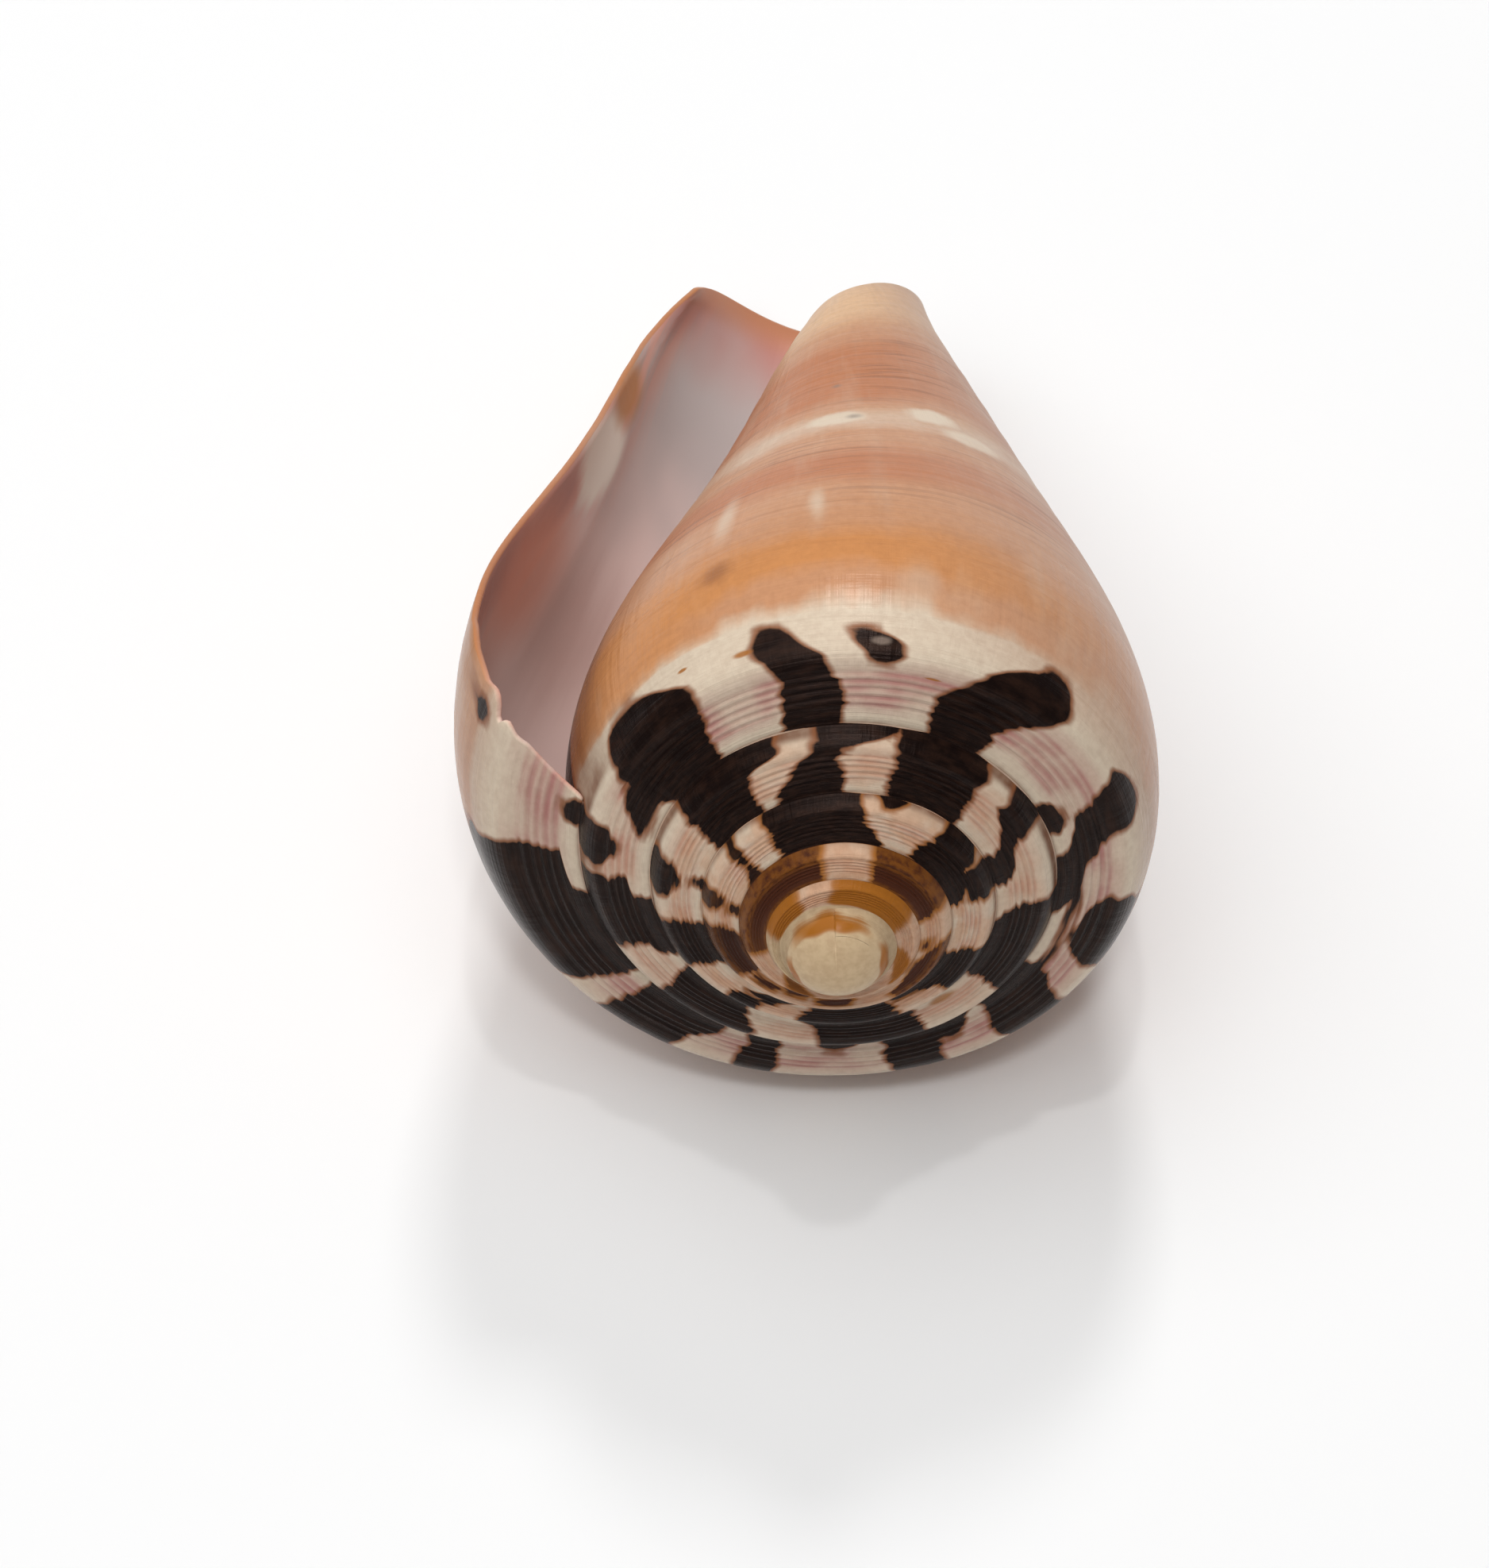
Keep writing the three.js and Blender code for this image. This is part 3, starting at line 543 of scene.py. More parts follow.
def outside(coil):
    """Ages, points and values of the outer sheet on the whole grid."""
    column, row = np.meshgrid(np.arange(LAST_COLUMN + 1), np.arange(EDGE_ROW + 1), indexing="ij")
    age = coil.lip_age(-column / COLUMNS, row)
    r, z, across = coil.profile(age, row)
    step = 0.5
    r0, z0, _ = coil.profile(age, np.maximum(row - step, 0))
    r1, z1, _ = coil.profile(age, np.minimum(row + step, EDGE_ROW))
    length = np.hypot(r1 - r0, z1 - z0)
    lift = relief(coil, age, across)
    lift = lift * smooth(row / 2) * np.where(column > COLUMNS, smooth((SUTURE_ROW - row) / 3), 1)
    lift = lift * np.where((row >= SUTURE_ROW) & (column > COLUMNS), 0, 1)
    lift = lift * smooth(column / 3) * smooth((EDGE_ROW - row) / 3)
    # outward is the profile's direction turned a quarter to the outside
    r = r - (z1 - z0) / length * lift
    z = z + (r1 - r0) / length * lift
    dark = blotch_depth(coil, age, across)
    return turned(age, r, z), (age, across, dark, np.zeros_like(age), -column / COLUMNS)


def inside(coil):
    """Points and values of the inner sheet: the outer one moved inwards by the wall."""
    column, row = np.meshgrid(np.arange(COLUMNS + 1), np.arange(EDGE_ROW + 1), indexing="ij")
    back = column / COLUMNS
    age = coil.lip_age(-back, row)
    lift = CANAL_FLOOR * smooth((back - CANAL_END) / 0.12)
    place = np.minimum(row, CAVITY_ROW) + np.maximum(row - CAVITY_ROW, 0) * (1 - lift)
    step = 0.5
    r0, z0, _ = coil.profile(age, np.maximum(place - step, 0))
    r1, z1, _ = coil.profile(age, np.minimum(place + step, EDGE_ROW))
    length = np.hypot(r1 - r0, z1 - z0)
    wall, lip = coil.form.wall / MM, coil.form.lip / MM
    depth = wall + (lip - wall) * np.exp(-back / WALL_FADE)
    depth = depth * (1 + 0.5 * row / EDGE_ROW * smooth(back / CANAL_END))
    r, z, across = coil.profile(age, place)
    r = r + (z1 - z0) / length * depth
    z = z - (r1 - r0) / length * depth
    clear = np.full_like(age, NO_BLOTCH)
    return turned(age, r, z), (age, across, clear, np.ones_like(age), -back)


def crest(skin, outer, inner, behind):
    """Rounded rim: half circles from the outer sheet to the inner one, standing away from the
    points behind the rim."""
    a, b, back = skin.at(outer), skin.at(inner), skin.at(behind)
    va, vb = skin.value(outer), skin.value(inner)
    middle, half = (a + b) / 2, (a - b) / 2
    out = a - back
    out = out / np.linalg.norm(out, axis=1, keepdims=True)
    reach = 0.5 * np.linalg.norm(half, axis=1, keepdims=True)
    turn = np.arange(1, CREST_ROWS + 1) / (CREST_ROWS + 1) * math.pi
    points = np.stack([middle + half * math.cos(t) + out * reach * math.sin(t) for t in turn], 1)
    share = (1 - np.cos(turn)) / 2
    values = va[:, None, :] + (vb - va)[:, None, :] * share[None, :, None]
    return points, tuple(values[..., n] for n in range(values.shape[-1]))


def knob_depth(points):
    """Depth inside the nearest stain of the knob, each an oval by turn and distance from the axis."""
    turn = np.arctan2(points[:, 1], points[:, 0]) / TAU
    radius = np.hypot(points[:, 0], points[:, 1]) + 0.05 * np.sin(9 * TAU * turn)
    depth = np.full(len(points), NO_BLOTCH)
    for at, place, half_turn, half_width in KNOB_STAINS:
        gap = (turn - at + 0.5) % 1 - 0.5
        reach = np.hypot(gap / half_turn, (radius - place) / half_width)
        depth = np.maximum(depth, 0.5 * (1 - reach))
    return depth


def dome(skin, loop, top, roundness, worn=False):
    """Closes a loop with shrinking rings up to one point on the axis, between a cone and a dome."""
    ring, base, kept = loop, skin.at(loop), skin.value(loop).copy()
    ring_radius = np.hypot(base[:, 0], base[:, 1])
    if worn:
        kept[:, :3] = KNOB_AGE, KNOB_ACROSS, NO_BLOTCH
    for n in range(1, CAP_RINGS):
        turn = n / CAP_RINGS * math.pi / 2
        lift = n / CAP_RINGS * (1 - roundness) + math.sin(turn) * roundness
        reach = (1 - n / CAP_RINGS) * (1 - roundness) + math.cos(turn) * roundness
        if worn:
            even = smooth(n / 4) * (1 - ring_radius.mean() / ring_radius)
            spread, level = 1 - even, base[:, 2] + (base[:, 2].mean() - base[:, 2]) * smooth(n / 4)
        else:
            spread, level = 1, base[:, 2]
        reach = reach * spread
        points = np.stack([base[:, 0] * reach, base[:, 1] * reach, level + (top - level) * lift], 1)
        following = skin.add(points, tuple(kept.T))
        skin.quads(ring, np.roll(ring, -1), np.roll(following, -1), following)
        ring = following
    centre = skin.add(np.array([[0, 0, top]], float), tuple(kept.mean(0)[:, None]))
    centre = np.repeat(centre, len(ring))
    skin.faces.append(np.stack([ring, np.roll(ring, -1), centre, centre], 1))


def grow(form):
    """Joins the sheets, rims and caps into one closed skin in the shell's own frame."""
    coil = Coil(form)
    skin = Skin()
    points, values = outside(coil)
    used = np.zeros(points.shape[:2], bool)
    used[:, : SUTURE_ROW + 1] = True
    used[: COLUMNS + 1] = True
    used[: 2 * COLUMNS + 1, CAVITY_ROW:] = True
    used[: LAST_COLUMN - COLUMNS + 1, 0] = False
    rim = slice(SUTURE_ROW + 1, CAVITY_ROW)
    used[COLUMNS, rim] = True
    outer = np.full(used.shape, -1)
    outer[used] = skin.add(points[used], tuple(v[used] for v in values))
    outer[: LAST_COLUMN - COLUMNS + 1, 0] = outer[COLUMNS:, SUTURE_ROW]

    columns = np.arange(LAST_COLUMN)[:, None]
    rows = np.arange(EDGE_ROW)[None, :]
    shown = (rows < SUTURE_ROW) | (columns < COLUMNS)
    shown |= (rows >= CAVITY_ROW) & (columns < 2 * COLUMNS)
    corners = (outer[:-1, :-1], outer[:-1, 1:], outer[1:, 1:], outer[1:, :-1])
    skin.quads(*(corner[shown] for corner in corners))

    points, values = inside(coil)
    inner = np.full(points.shape[:2], -1)
    inner[:, 1:] = skin.add(points[:, 1:], tuple(v[:, 1:] for v in values))
    inner[:, 0] = outer[COLUMNS : 2 * COLUMNS + 1, CAVITY_ROW]
    skin.quads(inner[:-1, :-1], inner[1:, :-1], inner[1:, 1:], inner[:-1, 1:])

    points, values = crest(skin, outer[0, 1:], inner[0, 1:], outer[2, 1:])
    lip = np.concatenate([outer[COLUMNS, rim][None], skin.add(points, values)])
    lip = np.concatenate([outer[0][:, None], lip, inner[0][:, None]], 1)
    skin.quads(lip[:-1, :-1], lip[:-1, 1:], lip[1:, 1:], lip[1:, :-1])

    canal = slice(1, CANAL_COLUMNS + 1)
    points, values = crest(
        skin, outer[canal, EDGE_ROW], inner[canal, EDGE_ROW], outer[canal, EDGE_ROW - 2])
    base = np.concatenate([lip[-1, 1:-1][None], skin.add(points, values)])
    ends = slice(0, CANAL_COLUMNS + 1)
    base = np.concatenate([outer[ends, EDGE_ROW][:, None], base, inner[ends, EDGE_ROW][:, None]], 1)
    skin.quads(base[:-1, :-1], base[:-1, 1:], base[1:, 1:], base[1:, :-1])

    floor = slice(CANAL_COLUMNS, COLUMNS + 1)
    deep = outer[COLUMNS + CANAL_COLUMNS : 2 * COLUMNS + 1, EDGE_ROW]
    skin.strip(deep, inner[floor, EDGE_ROW])
    wall = np.concatenate([inner[COLUMNS, ::-1], outer[2 * COLUMNS, CAVITY_ROW + 1 :]])

    tip = outer[CANAL_COLUMNS : CANAL_COLUMNS + COLUMNS + 1, EDGE_ROW][::-1]
    dome(skin, np.concatenate([tip, base[-1, 1:]]), TIP_CENTRE, TIP_ROUNDNESS)
    knob = np.concatenate(
        [outer[LAST_COLUMN - COLUMNS + 1 :, 0], outer[LAST_COLUMN, 1 : SUTURE_ROW + 1]])
    dome(skin, knob, KNOB_TOP, 1.0, worn=True)
    points, values = worn_knob(np.concatenate(skin.points), np.concatenate(skin.values))
    return points, values, np.concatenate(skin.faces), wall


def worn_knob(points, values):
    """Rubs the apex to an ellipse of revolution: height falls as 1 less the square root of
    1 less the square of radius over KNOB_REACH, and blends into the whorls round it. The
    vertex values blend the same way into those of the knob, with its stains."""
    radius = np.hypot(points[:, 0], points[:, 1])
    fall = 1 - np.sqrt(1 - np.minimum(radius / KNOB_REACH, 0.999) ** 2)
    share = smooth((KNOB_EDGE - radius) / KNOB_BLEND) * (points[:, 2] > -4)
    points[:, 2] += (KNOB_TOP - KNOB_FALL * fall - points[:, 2]) * share
    for column, value in enumerate((KNOB_AGE, KNOB_ACROSS, NO_BLOTCH)):
        values[:, column] += (value - values[:, column]) * share
    near = share > 0
    values[near, 2] = np.maximum(values[near, 2], knob_depth(points[near]))
    return points, values


def laid_down(points, box):
    """Turns the shell about its axis, tilts it onto its side, rubs the low side flat and puts
    the middle of its footprint where the box has it."""
    turn = Matrix.Rotation(REST_TILT, 3, "X") @ Matrix.Rotation(REST_TURN, 3, "Z")
    points = points @ np.array(turn).T
    points[:, 2] = np.maximum(points[:, 2], points[:, 2].min() + REST_FLAT)
    low, high = points.min(0), points.max(0)
    middle = [(low[0] + high[0]) / 2, (low[1] + high[1]) / 2, low[2]]
    place = [(box[0][0] + box[1][0]) / 2, (box[0][1] + box[1][1]) / 2, box[0][2]]
    return (points - middle) * MM + place, np.array(place) - np.array(middle) * MM


def shell_mesh(form):
    """The finished mesh with its vertex values as named attributes."""
    points, values, faces, wall = grow(form)
    points, _ = laid_down(points, CAD_BOX)
    mesh = bpy.data.meshes.new("cone_shell")
    narrow = (faces[:, 2] == faces[:, 3]) | (faces[:, 0] == faces[:, 3])
    triangles = faces[narrow][:, :3].tolist()
    mesh.from_pydata(points.tolist(), [], faces[~narrow].tolist() + triangles + [wall.tolist()])
    for n, name in enumerate(VERTEX_VALUES):
        mesh.attributes.new(name, "FLOAT", "POINT").data.foreach_set(
            "value", np.ascontiguousarray(values[:, n], np.float32))
    mesh.polygons.foreach_set("use_smooth", [True] * len(mesh.polygons))
    mesh.validate(verbose=True)
    mesh.update()
    return mesh


# ---------------------------------------------------------------- materials
def put(tree, kind, **settings):
    """Adds a node and sets its plain settings."""
    made = tree.nodes.new(kind)
    for name, value in settings.items():
        setattr(made, name, value)
    return made


def join(tree, value, socket):
    """Feeds a socket from another socket, or sets it to a number or colour."""
    if isinstance(value, bpy.types.NodeSocket):
        tree.links.new(value, socket)
    elif value is not None:
        socket.default_value = value


def calc(tree, operation, a, b=None, c=None, clamp=False):
    """A Math node."""
    made = put(tree, "ShaderNodeMath", operation=operation, use_clamp=clamp)
    for value, socket in zip((a, b, c), made.inputs):
        join(tree, value, socket)
    return made.outputs[0]


def step_between(tree, value, low, high):
    """0 below low, 1 above high and smooth between them."""
    made = put(tree, "ShaderNodeMapRange", interpolation_type="SMOOTHSTEP")
    for item, number in zip((value, low, high), range(3)):
        join(tree, item, made.inputs[number])
    return made.outputs[0]


def tint(tree, share, a, b, blend="MIX"):
    """A colour Mix node."""
    made = put(tree, "ShaderNodeMix", data_type="RGBA", blend_type=blend)
    join(tree, share, made.inputs[0])
    for value, socket in ((a, made.inputs[6]), (b, made.inputs[7])):
        join(tree, value if isinstance(value, bpy.types.NodeSocket) else (*value, 1.0), socket)
    return made.outputs[2]


def grain(tree, vector, scale, detail=3.0, rough=0.55):
    """A noise of the given scale, from 0 to 1."""
    made = put(tree, "ShaderNodeTexNoise")
    join(tree, vector, made.inputs["Vector"])
    made.inputs["Scale"].default_value = scale
    made.inputs["Detail"].default_value = detail
    made.inputs["Roughness"].default_value = rough
    return made.outputs[0]


def vector(tree, x, y, z=0.0):
    """A vector from three values."""
    made = put(tree, "ShaderNodeCombineXYZ")
    for value, socket in zip((x, y, z), made.inputs):
        join(tree, value, socket)
    return made.outputs[0]


def stops(tree, value, colours):
    """A colour ramp with its stops given as place and colour."""
    made = put(tree, "ShaderNodeValToRGB")
    join(tree, value, made.inputs[0])
    elements = made.color_ramp.elements
    while len(elements) < len(colours):
        elements.new(0.5)
    for element, (place, colour) in zip(elements, colours):
        element.position = place
        element.color = (*colour, 1.0)
    return made.outputs[0]


def patches(tree, sheet, turns, widths, offset, detail=3.0, rough=0.55):
    """Noise that lies in the sheet, with about so many patches in a turn and across the sheet."""
    age, across = sheet
    place = vector(
        tree, calc(tree, "MULTIPLY", age, turns), calc(tree, "MULTIPLY", across, widths), offset)
    return grain(tree, place, 1.0, detail, rough)


def product(tree, *values):
    """All the values multiplied."""
    total = values[0]
    for value in values[1:]:
        total = calc(tree, "MULTIPLY", total, value)
    return total


def scaled(tree, value, gain, base):
    """A value times a gain, plus a base."""
    return calc(tree, "MULTIPLY_ADD", value, gain, base)


def window(tree, value, start, full, fade, end):
    """1 from full to fade, and smoothly 0 at start and end."""
    return product(tree, step_between(tree, value, start, full), step_between(tree, value, end, fade))


def new_group(name, inputs, outputs):
    """An empty shader group with float sockets, and its input and output nodes."""
    tree = bpy.data.node_groups.new(name, "ShaderNodeTree")
    for label, default in inputs:
        socket = tree.interface.new_socket(label, in_out="INPUT", socket_type="NodeSocketFloat")
        socket.default_value = default
    for label in outputs:
        tree.interface.new_socket(label, in_out="OUTPUT", socket_type="NodeSocketFloat")
    return tree, put(tree, "NodeGroupInput"), put(tree, "NodeGroupOutput")


def use_group(tree, group, *values):
    """Places a group and feeds its inputs in order."""
    made = put(tree, "ShaderNodeGroup", node_tree=group)
    for value, socket in zip(values, made.inputs):
        join(tree, value, socket)
    return made


def threads_group():
    """Fine spiral threads: noise drawn out along the coil. Gives a height and a line mask."""
    tree, start, end = new_group(
        "Spiral Threads", (("Age", 0), ("Across", 0), ("Count", 60)), ("Height", "Lines"))
    age, across, count = start.outputs[:3]
    place = vector(tree, calc(tree, "MULTIPLY", age, 7), calc(tree, "MULTIPLY", across, count))
    join(tree, grain(tree, place, 1.0, 4.0, 0.6), end.inputs[0])
    bend = scaled(tree, grain(tree, place, 0.2, 2.0), 2.2,
                  calc(tree, "MULTIPLY", across, calc(tree, "MULTIPLY", count, 1.5)))
    fine = vector(tree, calc(tree, "MULTIPLY", age, 6), bend, 4.0)
    join(tree, step_between(tree, grain(tree, fine, 1.0, 3.0, 0.65), 0.52, 0.62), end.inputs[1])
    return tree


def growth_group():
    """Growth lines: noise drawn out across the coil, in turns. Gives a height and broad streaks."""
    tree, start, end = new_group("Growth Lines", (("Age", 0), ("Across", 0)), ("Height", "Streaks"))
    sheet = start.outputs[:2]
    join(tree, patches(tree, sheet, turns=190, widths=3, offset=0.0, rough=0.6), end.inputs[0])
    join(tree, patches(tree, sheet, turns=30, widths=3.5, offset=7.0), end.inputs[1])
    return tree


def blotch_group():
    """Blotch edges roughened along the cords. Gives the dark middle and the reddish rim."""
    tree, start, end = new_group(
        "Blotch Edge", (("Depth", 0), ("Age", 0), ("Across", 0), ("Rim", 0.3), ("Size", 1)),
        ("Middle", "Rim"))
    depth, age, across, rim, size = start.outputs[:5]
    rough = patches(tree, (age, across), turns=30, widths=9, offset=0.0, detail=1.5, rough=0.5)
    wobble = product(tree, calc(tree, "SUBTRACT", rough, 0.5), size)
    wobble = calc(tree, "ADD", wobble, depth)
    join(tree, step_between(tree, wobble, -0.12, 0.06), end.inputs[0])
    low = calc(tree, "SUBTRACT", -0.12, rim)
    join(tree, step_between(tree, wobble, low, -0.08), end.inputs[1])
    return tree


def oval_group():
    """Soft oval patch: 1 where the distance from its centre, in half widths, is well under 1."""
    tree, start, end = new_group(
        "Oval Patch",
        (("Along", 0), ("Across", 0), ("Noise", 0.5), ("Centre Along", 0), ("Centre Across", 0),
         ("Half Along", 0.01), ("Half Across", 0.01), ("Softness", 0.5)), ("Patch",))
    parts = []
    for n in (0, 1):
        gap = calc(tree, "SUBTRACT", start.outputs[n], start.outputs[3 + n])
        parts.append(calc(tree, "POWER", calc(tree, "DIVIDE", gap, start.outputs[5 + n]), 2.0))
    reach = calc(tree, "SQRT", calc(tree, "ADD", parts[0], parts[1]))
    reach = calc(tree, "ADD", reach, calc(tree, "SUBTRACT", start.outputs[2], 0.5))
    near = calc(tree, "SUBTRACT", 1.0, start.outputs[7])
    far = calc(tree, "ADD", 1.0, start.outputs[7])
    join(tree, step_between(tree, reach, far, near), end.inputs[0])
    return tree


def ramp_ground(tree, colours, sheet, old):
    """Ground between the sutures: cream with pink grooves in the middle, warmer when old."""
    age, across = sheet
    low, high = CORD_BAND
    place = calc(tree, "DIVIDE", calc(tree, "SUBTRACT", across, low), high - low)
    bend = patches(tree, sheet, turns=9, widths=6, offset=3.0, detail=1.0)
    cord = scaled(tree, calc(tree, "SUBTRACT", bend, 0.5), 3.0,
                  calc(tree, "MULTIPLY", place, TAU * CORD_COUNT))
    groove = scaled(tree, calc(tree, "COSINE", cord), -0.5, 0.5)
    patch = patches(tree, sheet, turns=24, widths=2, offset=12.0, detail=1.5)
    patch = step_between(tree, patch, 0.34, 0.62)
    young = step_between(tree, age, -1.1, -0.95)
    pink = product(
        tree, scaled(tree, groove, 0.32, 0.55), window(tree, place, *GROOVED_BAND),
        scaled(tree, patch, 0.8, 0.32), scaled(tree, young, 0.35, 0.65))
    ground = tint(tree, pink, colours.cream, tint(tree, young, colours.old_pink, colours.pink))
    cloud = patches(tree, sheet, turns=20, widths=3, offset=1.0)
    warm = product(tree, step_between(tree, age, -1.0, -2.4), step_between(tree, cloud, 0.38, 0.62), 0.6)
    ground = tint(tree, warm, ground, colours.peach)
    return tint(tree, calc(tree, "MULTIPLY", old, 0.5), ground, colours.peach)


def body_ground(tree, colours, sheet, lines, streaks):
    """Ground of the body: bands by place, flamed along the growth lines, with fine lines."""
    age, across = sheet
    drift = patches(tree, sheet, turns=14, widths=9, offset=2.0, detail=4.0)
    flame = product(tree, calc(tree, "SUBTRACT", streaks, 0.5), step_between(tree, across, 1.4, 1.0))
    down = calc(tree, "SUBTRACT", across, 1 - SHOULDER_ON_BODY)
    down = scaled(tree, calc(tree, "SUBTRACT", drift, 0.5), 0.07, down)
    down = scaled(tree, flame, 0.08, down)
    down = scaled(tree, step_between(tree, age, -0.22, -0.04), 0.05, down)
    body = stops(tree, down, [(place, getattr(colours, name)) for place, name in BODY_ZONES])
    left = product(tree, window(tree, age, *ORANGE_AGES), window(tree, down, *ORANGE_BAND), 0.8)
    body = tint(tree, left, body, colours.orange)
    right = product(tree, step_between(tree, age, -0.83, -0.66), 0.6)
    body = tint(tree, right, body, colours.dull)
    lined = calc(tree, "ADD", *(window(tree, down, *band) for band in LINED_BANDS))
    faint = patches(tree, sheet, turns=11, widths=5, offset=15.0, detail=2.0)
    faint = scaled(tree, step_between(tree, faint, 0.35, 0.6), 0.75, 0.25)
    lined = product(tree, lines, scaled(tree, lined, 0.85, 0.15), 0.52, faint)
    body = tint(tree, lined, body, colours.line)
    body = tint(tree, product(tree, step_between(tree, streaks, 0.52, 0.72), 0.14), body, colours.cream)
    broken = calc(tree, "MULTIPLY_ADD", drift, 1.2, -0.2, clamp=True)
    return tint(tree, product(tree, window(tree, down, *PALE_BAND), broken), body, colours.cream)


def marked(tree, colours, ground, along, across, noise, oval, marks):
    """Lays the oval marks of a list over a ground."""
    for name, *numbers, share in marks:
        mark = use_group(tree, oval, along, across, noise, *numbers)
        ground = tint(tree, product(tree, mark.outputs[0], share), ground, getattr(colours, name))
    return ground


def blotched(tree, colours, ground, sheet, depth, streaks, mottle, old):
    """Lays the blotches over a ground, with brown lines along the sutures and old shoulders, part
    pigment and part painted shade.
    """
    age, across = sheet
    amber = step_between(tree, age, *AMBER_AGES)
    size = scaled(tree, old, -0.5, 1.0)
    rim_width = scaled(tree, old, 0.1, 0.34)
    blotch = use_group(tree, blotch_group(), depth, age, across, rim_width, size)
    dark = tint(tree, step_between(tree, mottle, 0.4, 0.68), colours.black, colours.soft_black)
    dark = tint(tree, old, dark, colours.brown)
    border = calc(
        tree, "ADD", step_between(tree, across, 0.16, 0.04), step_between(tree, across, 0.5, 0.72))
    border = product(tree, border, old, step_between(tree, mottle, 0.3, 0.6), 0.4)
    dark = tint(tree, border, dark, colours.amber)
    dark = tint(tree, amber, dark, colours.amber)
    warmer = product(tree, step_between(tree, age, -1.75, -2.6), 0.55)
    rim = tint(tree, calc(tree, "MAXIMUM", old, warmer), colours.rim, colours.amber)
    haze = product(tree, step_between(tree, depth, -0.6, -0.1), old, 0.4)
    haze = product(tree, haze, step_between(tree, mottle, 0.35, 0.6))
    coat = tint(tree, haze, ground, colours.amber)
    # lines at the old shoulders and the sutures: partly brown pigment, partly painted shade in the
    # creases
    shoulder = product(
        tree, step_between(tree, across, 0.815, 0.865), step_between(tree, age, -0.98, -1.03))
    seam = calc(tree, "MAXIMUM", shoulder, step_between(tree, across, 0.06, 0.0))
    uneven = scaled(tree, step_between(tree, streaks, 0.35, 0.6), 0.35, 0.6)
    coat = tint(tree, product(tree, seam, uneven), coat, colours.seam)
    coat = tint(tree, product(tree, blotch.outputs[1], 0.9), coat, rim)
    return tint(tree, blotch.outputs[0], coat, dark)


def lining_ground(tree, colours, sheet, behind, oval):
    """Lining: lilac, streaked beside the lip, with a painted shadow of the lip, reddish along the front
    edge.
    """
    _, across = sheet
    streak = patches(tree, sheet, turns=60, widths=3, offset=9.0)
    cloud = patches(tree, sheet, turns=9, widths=4, offset=6.0, detail=2.0)
    cool = step_between(tree, scaled(tree, cloud, 0.4, across), 1.62, 2.0)
    inner = tint(tree, cool, colours.lilac, colours.blue)
    near_lip = product(tree, step_between(tree, behind, -0.07, -0.01), 0.6)
    near_lip = product(tree, near_lip, step_between(tree, streak, 0.35, 0.6))
    inner = tint(tree, near_lip, inner, colours.rim_red)
    inner = marked(tree, colours, inner, behind, across, streak, oval, LINING_MARKS)
    front = product(tree, step_between(tree, scaled(tree, cloud, 0.16, across), 1.88, 2.03), 0.8)
    inner = tint(tree, front, inner, colours.front_red)
    border = product(tree, step_between(tree, across, 1.9, 1.95), 0.7)
    return tint(tree, border, inner, colours.lip_edge)


def shell_material(colours):
    """Outside ground by place across the sheet, blotches and marks over it, and the lining."""
    material = bpy.data.materials.new("shell_surface")
    material.use_nodes = True
    tree = material.node_tree
    shader = tree.nodes["Principled BSDF"]

    def read(name):
        return put(tree, "ShaderNodeAttribute", attribute_name=name).outputs["Fac"]

    age, across, depth, lining, behind = (read(name) for name in VERTEX_VALUES)
    sheet = (age, across)
    thread_height, thread_lines = use_group(tree, threads_group(), age, across, 60).outputs[:2]
    growth_height, streaks = use_group(tree, growth_group(), age, across).outputs[:2]
    old = step_between(tree, age, *OLD_AGES)
    ground = tint(tree, step_between(tree, across, 0.8, 0.98),
                  ramp_ground(tree, colours, sheet, old),
                  body_ground(tree, colours, sheet, thread_lines, streaks))
    ground = tint(tree, step_between(tree, age, *WORN_AGES), ground, colours.knob)
    mottle = patches(tree, sheet, turns=55, widths=16, offset=5.0, detail=4.0)
    fleck = calc(tree, "ABSOLUTE", product(tree, calc(tree, "SUBTRACT", mottle, 0.5), 0.5))
    ground = tint(tree, fleck, ground, colours.line)
    spot = put(tree, "ShaderNodeTexCoord").outputs["Object"]
    grit = step_between(tree, grain(tree, spot, 2600.0, 2.0), 0.3, 0.75)
    grit = product(tree, grit, scaled(tree, step_between(tree, age, *AMBER_AGES), 0.1, 0.12))
    ground = tint(tree, grit, ground, colours.line)

    oval = oval_group()
    coat = blotched(tree, colours, ground, sheet, depth, streaks, mottle, old)
    coat = marked(tree, colours, coat, age, across, mottle, oval, MARKS)
    colour = tint(tree, lining, coat, lining_ground(tree, colours, sheet, behind, oval))
    # the lip's edge lies half way between the outside and the lining
    edge = calc(tree, "ABSOLUTE", calc(tree, "SUBTRACT", lining, 0.5))
    edge = product(tree, step_between(tree, edge, 0.5, 0.4), 0.8, step_between(tree, across, 0.96, 1.04))
    colour = tint(tree, edge, colour, colours.lip_edge)
    join(tree, colour, shader.inputs["Base Color"])

    rough = scaled(tree, thread_height, 0.2, 0.15)
    rough = scaled(tree, step_between(tree, across, 1.05, 1.3), 0.1, rough)
    join(tree, rough, shader.inputs["Roughness"])
    shader.inputs["IOR"].default_value = 1.45
    shader.inputs["Specular IOR Level"].default_value = 0.15
    shader.inputs["Specular Tint"].default_value = (1.0, 0.72, 0.62, 1.0)
    height = scaled(tree, thread_height, 0.6, product(tree, growth_height, 0.5))
    height = product(tree, height, scaled(tree, lining, -0.8, 1.0))
    bump = put(tree, "ShaderNodeBump")
    bump.inputs["Strength"].default_value = 0.6
    bump.inputs["Distance"].default_value = 0.00014
    join(tree, height, bump.inputs["Height"])
    join(tree, bump.outputs[0], shader.inputs["Normal"])
    return material


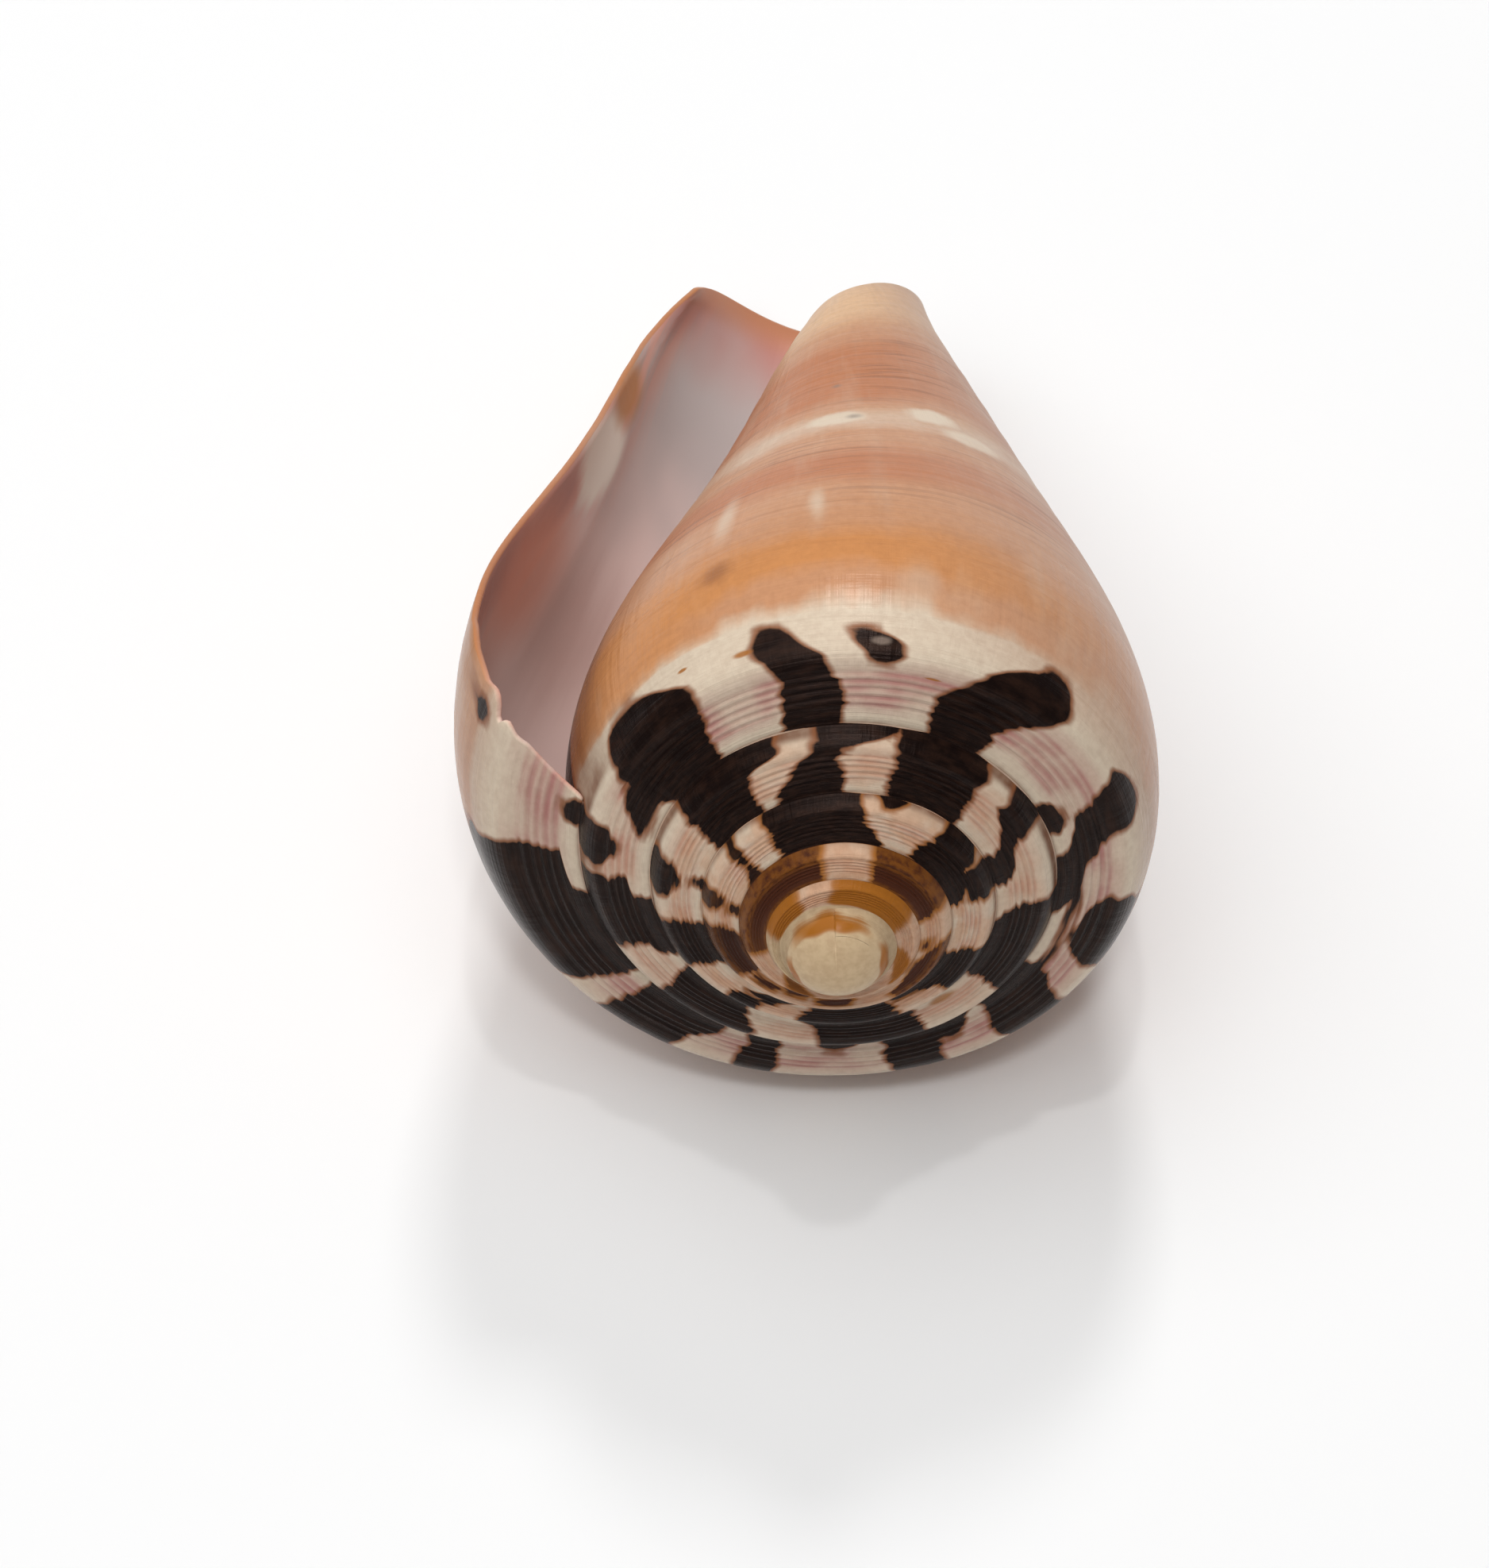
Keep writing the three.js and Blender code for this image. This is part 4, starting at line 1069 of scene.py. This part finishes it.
# ---------------------------------------------------------------- stage
FLOOR_REACH = 4.0
FLOOR_CORNERS = [(FLOOR_REACH * a, FLOOR_REACH * b) for a, b in ((-1, -1), (1, -1), (1, 1), (-1, 1))]
FLOOR_PALE = (0.9, 0.9, 0.9, 1)
SKY_STRENGTH = 0.2
LIGHT_TARGET = (0, 0, 0.015)
# Lights: name of the power setting, place and side in metres.
LIGHTS = (
    ("key", (0.03, 0.4, 0.5), 0.1), ("sky", (-0.14, -0.06, 0.58), 0.7),
    ("fill", (0.02, -0.22, 0.5), 0.05), ("spark", (0.01, 0.01, 0.6), 0.025))
# Camera: its turn as an axis times an angle, and the apex's place beside its line of sight in mm.
CAMERA_TURN = (-2.4398, 0.0076, 0.0293)
CAMERA_SHIFT = (4.3817, 9.2481)


def stage_floor():
    """A wide plain floor just under the shell."""
    low, high = (np.array(c) for c in CAD_BOX)
    x, y = (low + high)[:2] / 2
    corners = [(x + a, y + b, low[2]) for a, b in FLOOR_CORNERS]
    mesh = bpy.data.meshes.new("stage_floor")
    mesh.from_pydata(corners, [], [(0, 1, 2, 3)])
    floor = bpy.data.objects.new("stage_floor", mesh)
    bpy.context.scene.collection.objects.link(floor)
    material = bpy.data.materials.new("stage_pale")
    material.use_nodes = True
    shader = material.node_tree.nodes["Principled BSDF"]
    shader.inputs["Base Color"].default_value = FLOOR_PALE
    shader.inputs["Roughness"].default_value = 0.9
    mesh.materials.append(material)


def area_light(name, place, size, power):
    """A square soft light at a place, facing the shell."""
    data = bpy.data.lights.new(name, "AREA")
    data.energy, data.size = power, size
    lamp = bpy.data.objects.new(name, data)
    lamp.location = place
    lamp.rotation_euler = (Vector(LIGHT_TARGET) - Vector(place)).to_track_quat("-Z", "Y").to_euler()
    bpy.context.scene.collection.objects.link(lamp)


class CONESHELL_OT_grow(bpy.types.Operator):
    """Grow the cone shell and colour it"""

    bl_idname = "cone_shell.grow"
    bl_label = "Grow Shell"

    def execute(self, context):
        mesh = shell_mesh(context.scene.cone_shell_form)
        mesh.materials.append(shell_material(context.scene.cone_shell_colours))
        shell = bpy.data.objects.new("cone_shell", mesh)
        context.scene.collection.objects.link(shell)
        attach(shell, "root")
        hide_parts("shell")
        return {"FINISHED"}


class CONESHELL_OT_stage(bpy.types.Operator):
    """Set the floor, the soft lights and the camera"""

    bl_idname = "cone_shell.stage"
    bl_label = "Set Stage"

    def execute(self, context):
        settings = context.scene.cone_shell_stage
        stage_floor()
        world = bpy.data.worlds.new("stage_world")
        context.scene.world = world
        world.use_nodes = True
        background = world.node_tree.nodes["Background"]
        background.inputs["Color"].default_value = (1, 1, 1, 1)
        background.inputs["Strength"].default_value = SKY_STRENGTH
        for name, place, size in LIGHTS:
            area_light(name, place, size, getattr(settings, name))
        data = bpy.data.cameras.new("camera")
        data.lens = settings.focal
        data.sensor_width = 36
        data.clip_start = 0.01
        camera = bpy.data.objects.new("camera", data)
        context.scene.collection.objects.link(camera)
        place_camera(camera, settings)
        context.scene.camera = camera
        context.scene.view_settings.view_transform = "Standard"
        return {"FINISHED"}


def place_camera(camera, settings):
    """Looks at the spire from above and in front, from the given distance to the apex. The view
    is set up in the shell's own frame and carried along as the shell is laid down."""
    turn_by = Vector(CAMERA_TURN)
    look = Matrix.Rotation(turn_by.length, 3, turn_by.normalized())
    apex = Vector((*CAMERA_SHIFT, settings.distance / MM))
    spot = -(look.transposed() @ apex) * MM
    rest = Matrix.Rotation(REST_TILT, 3, "X")
    _, offset = laid_down(grow(bpy.context.scene.cone_shell_form)[0], CAD_BOX)
    flip = Matrix(((1, 0, 0), (0, -1, 0), (0, 0, -1)))
    camera.location = rest @ spot + Vector(offset)
    camera.rotation_euler = (rest @ look.transposed() @ flip).to_euler()


class CONESHELL_PT_panel(bpy.types.Panel):
    """Lists the shell's steps and sizes"""

    bl_idname = "CONESHELL_PT_panel"
    bl_label = "Cone Shell"
    bl_space_type = "VIEW_3D"
    bl_region_type = "UI"
    bl_category = "Cone Shell"

    def draw(self, context):
        layout = self.layout
        for step in STEPS:
            layout.operator(step.bl_idname)
        for group in (getattr(context.scene, name) for name in GROUPS):
            for name in group.__annotations__:
                layout.prop(group, name)


STEPS = (CONESHELL_OT_grow, CONESHELL_OT_stage)
GROUPS = {
    "cone_shell_form": ShellForm,
    "cone_shell_colours": ShellColours,
    "cone_shell_stage": StageSettings,
}


def register():
    """Registers the settings, the steps and the panel."""
    for group in GROUPS.values():
        bpy.utils.register_class(group)
    for name, group in GROUPS.items():
        setattr(bpy.types.Scene, name, bpy.props.PointerProperty(type=group))
    for step in (*STEPS, CONESHELL_PT_panel):
        bpy.utils.register_class(step)


def unregister():
    """Takes the settings, the steps and the panel away again."""
    for step in reversed((*STEPS, CONESHELL_PT_panel)):
        bpy.utils.unregister_class(step)
    for name, group in reversed(GROUPS.items()):
        delattr(bpy.types.Scene, name)
        bpy.utils.unregister_class(group)


def main():
    """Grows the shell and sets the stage."""
    register()
    bpy.ops.cone_shell.grow()
    bpy.ops.cone_shell.stage()


if __name__ == "__main__":
    main()
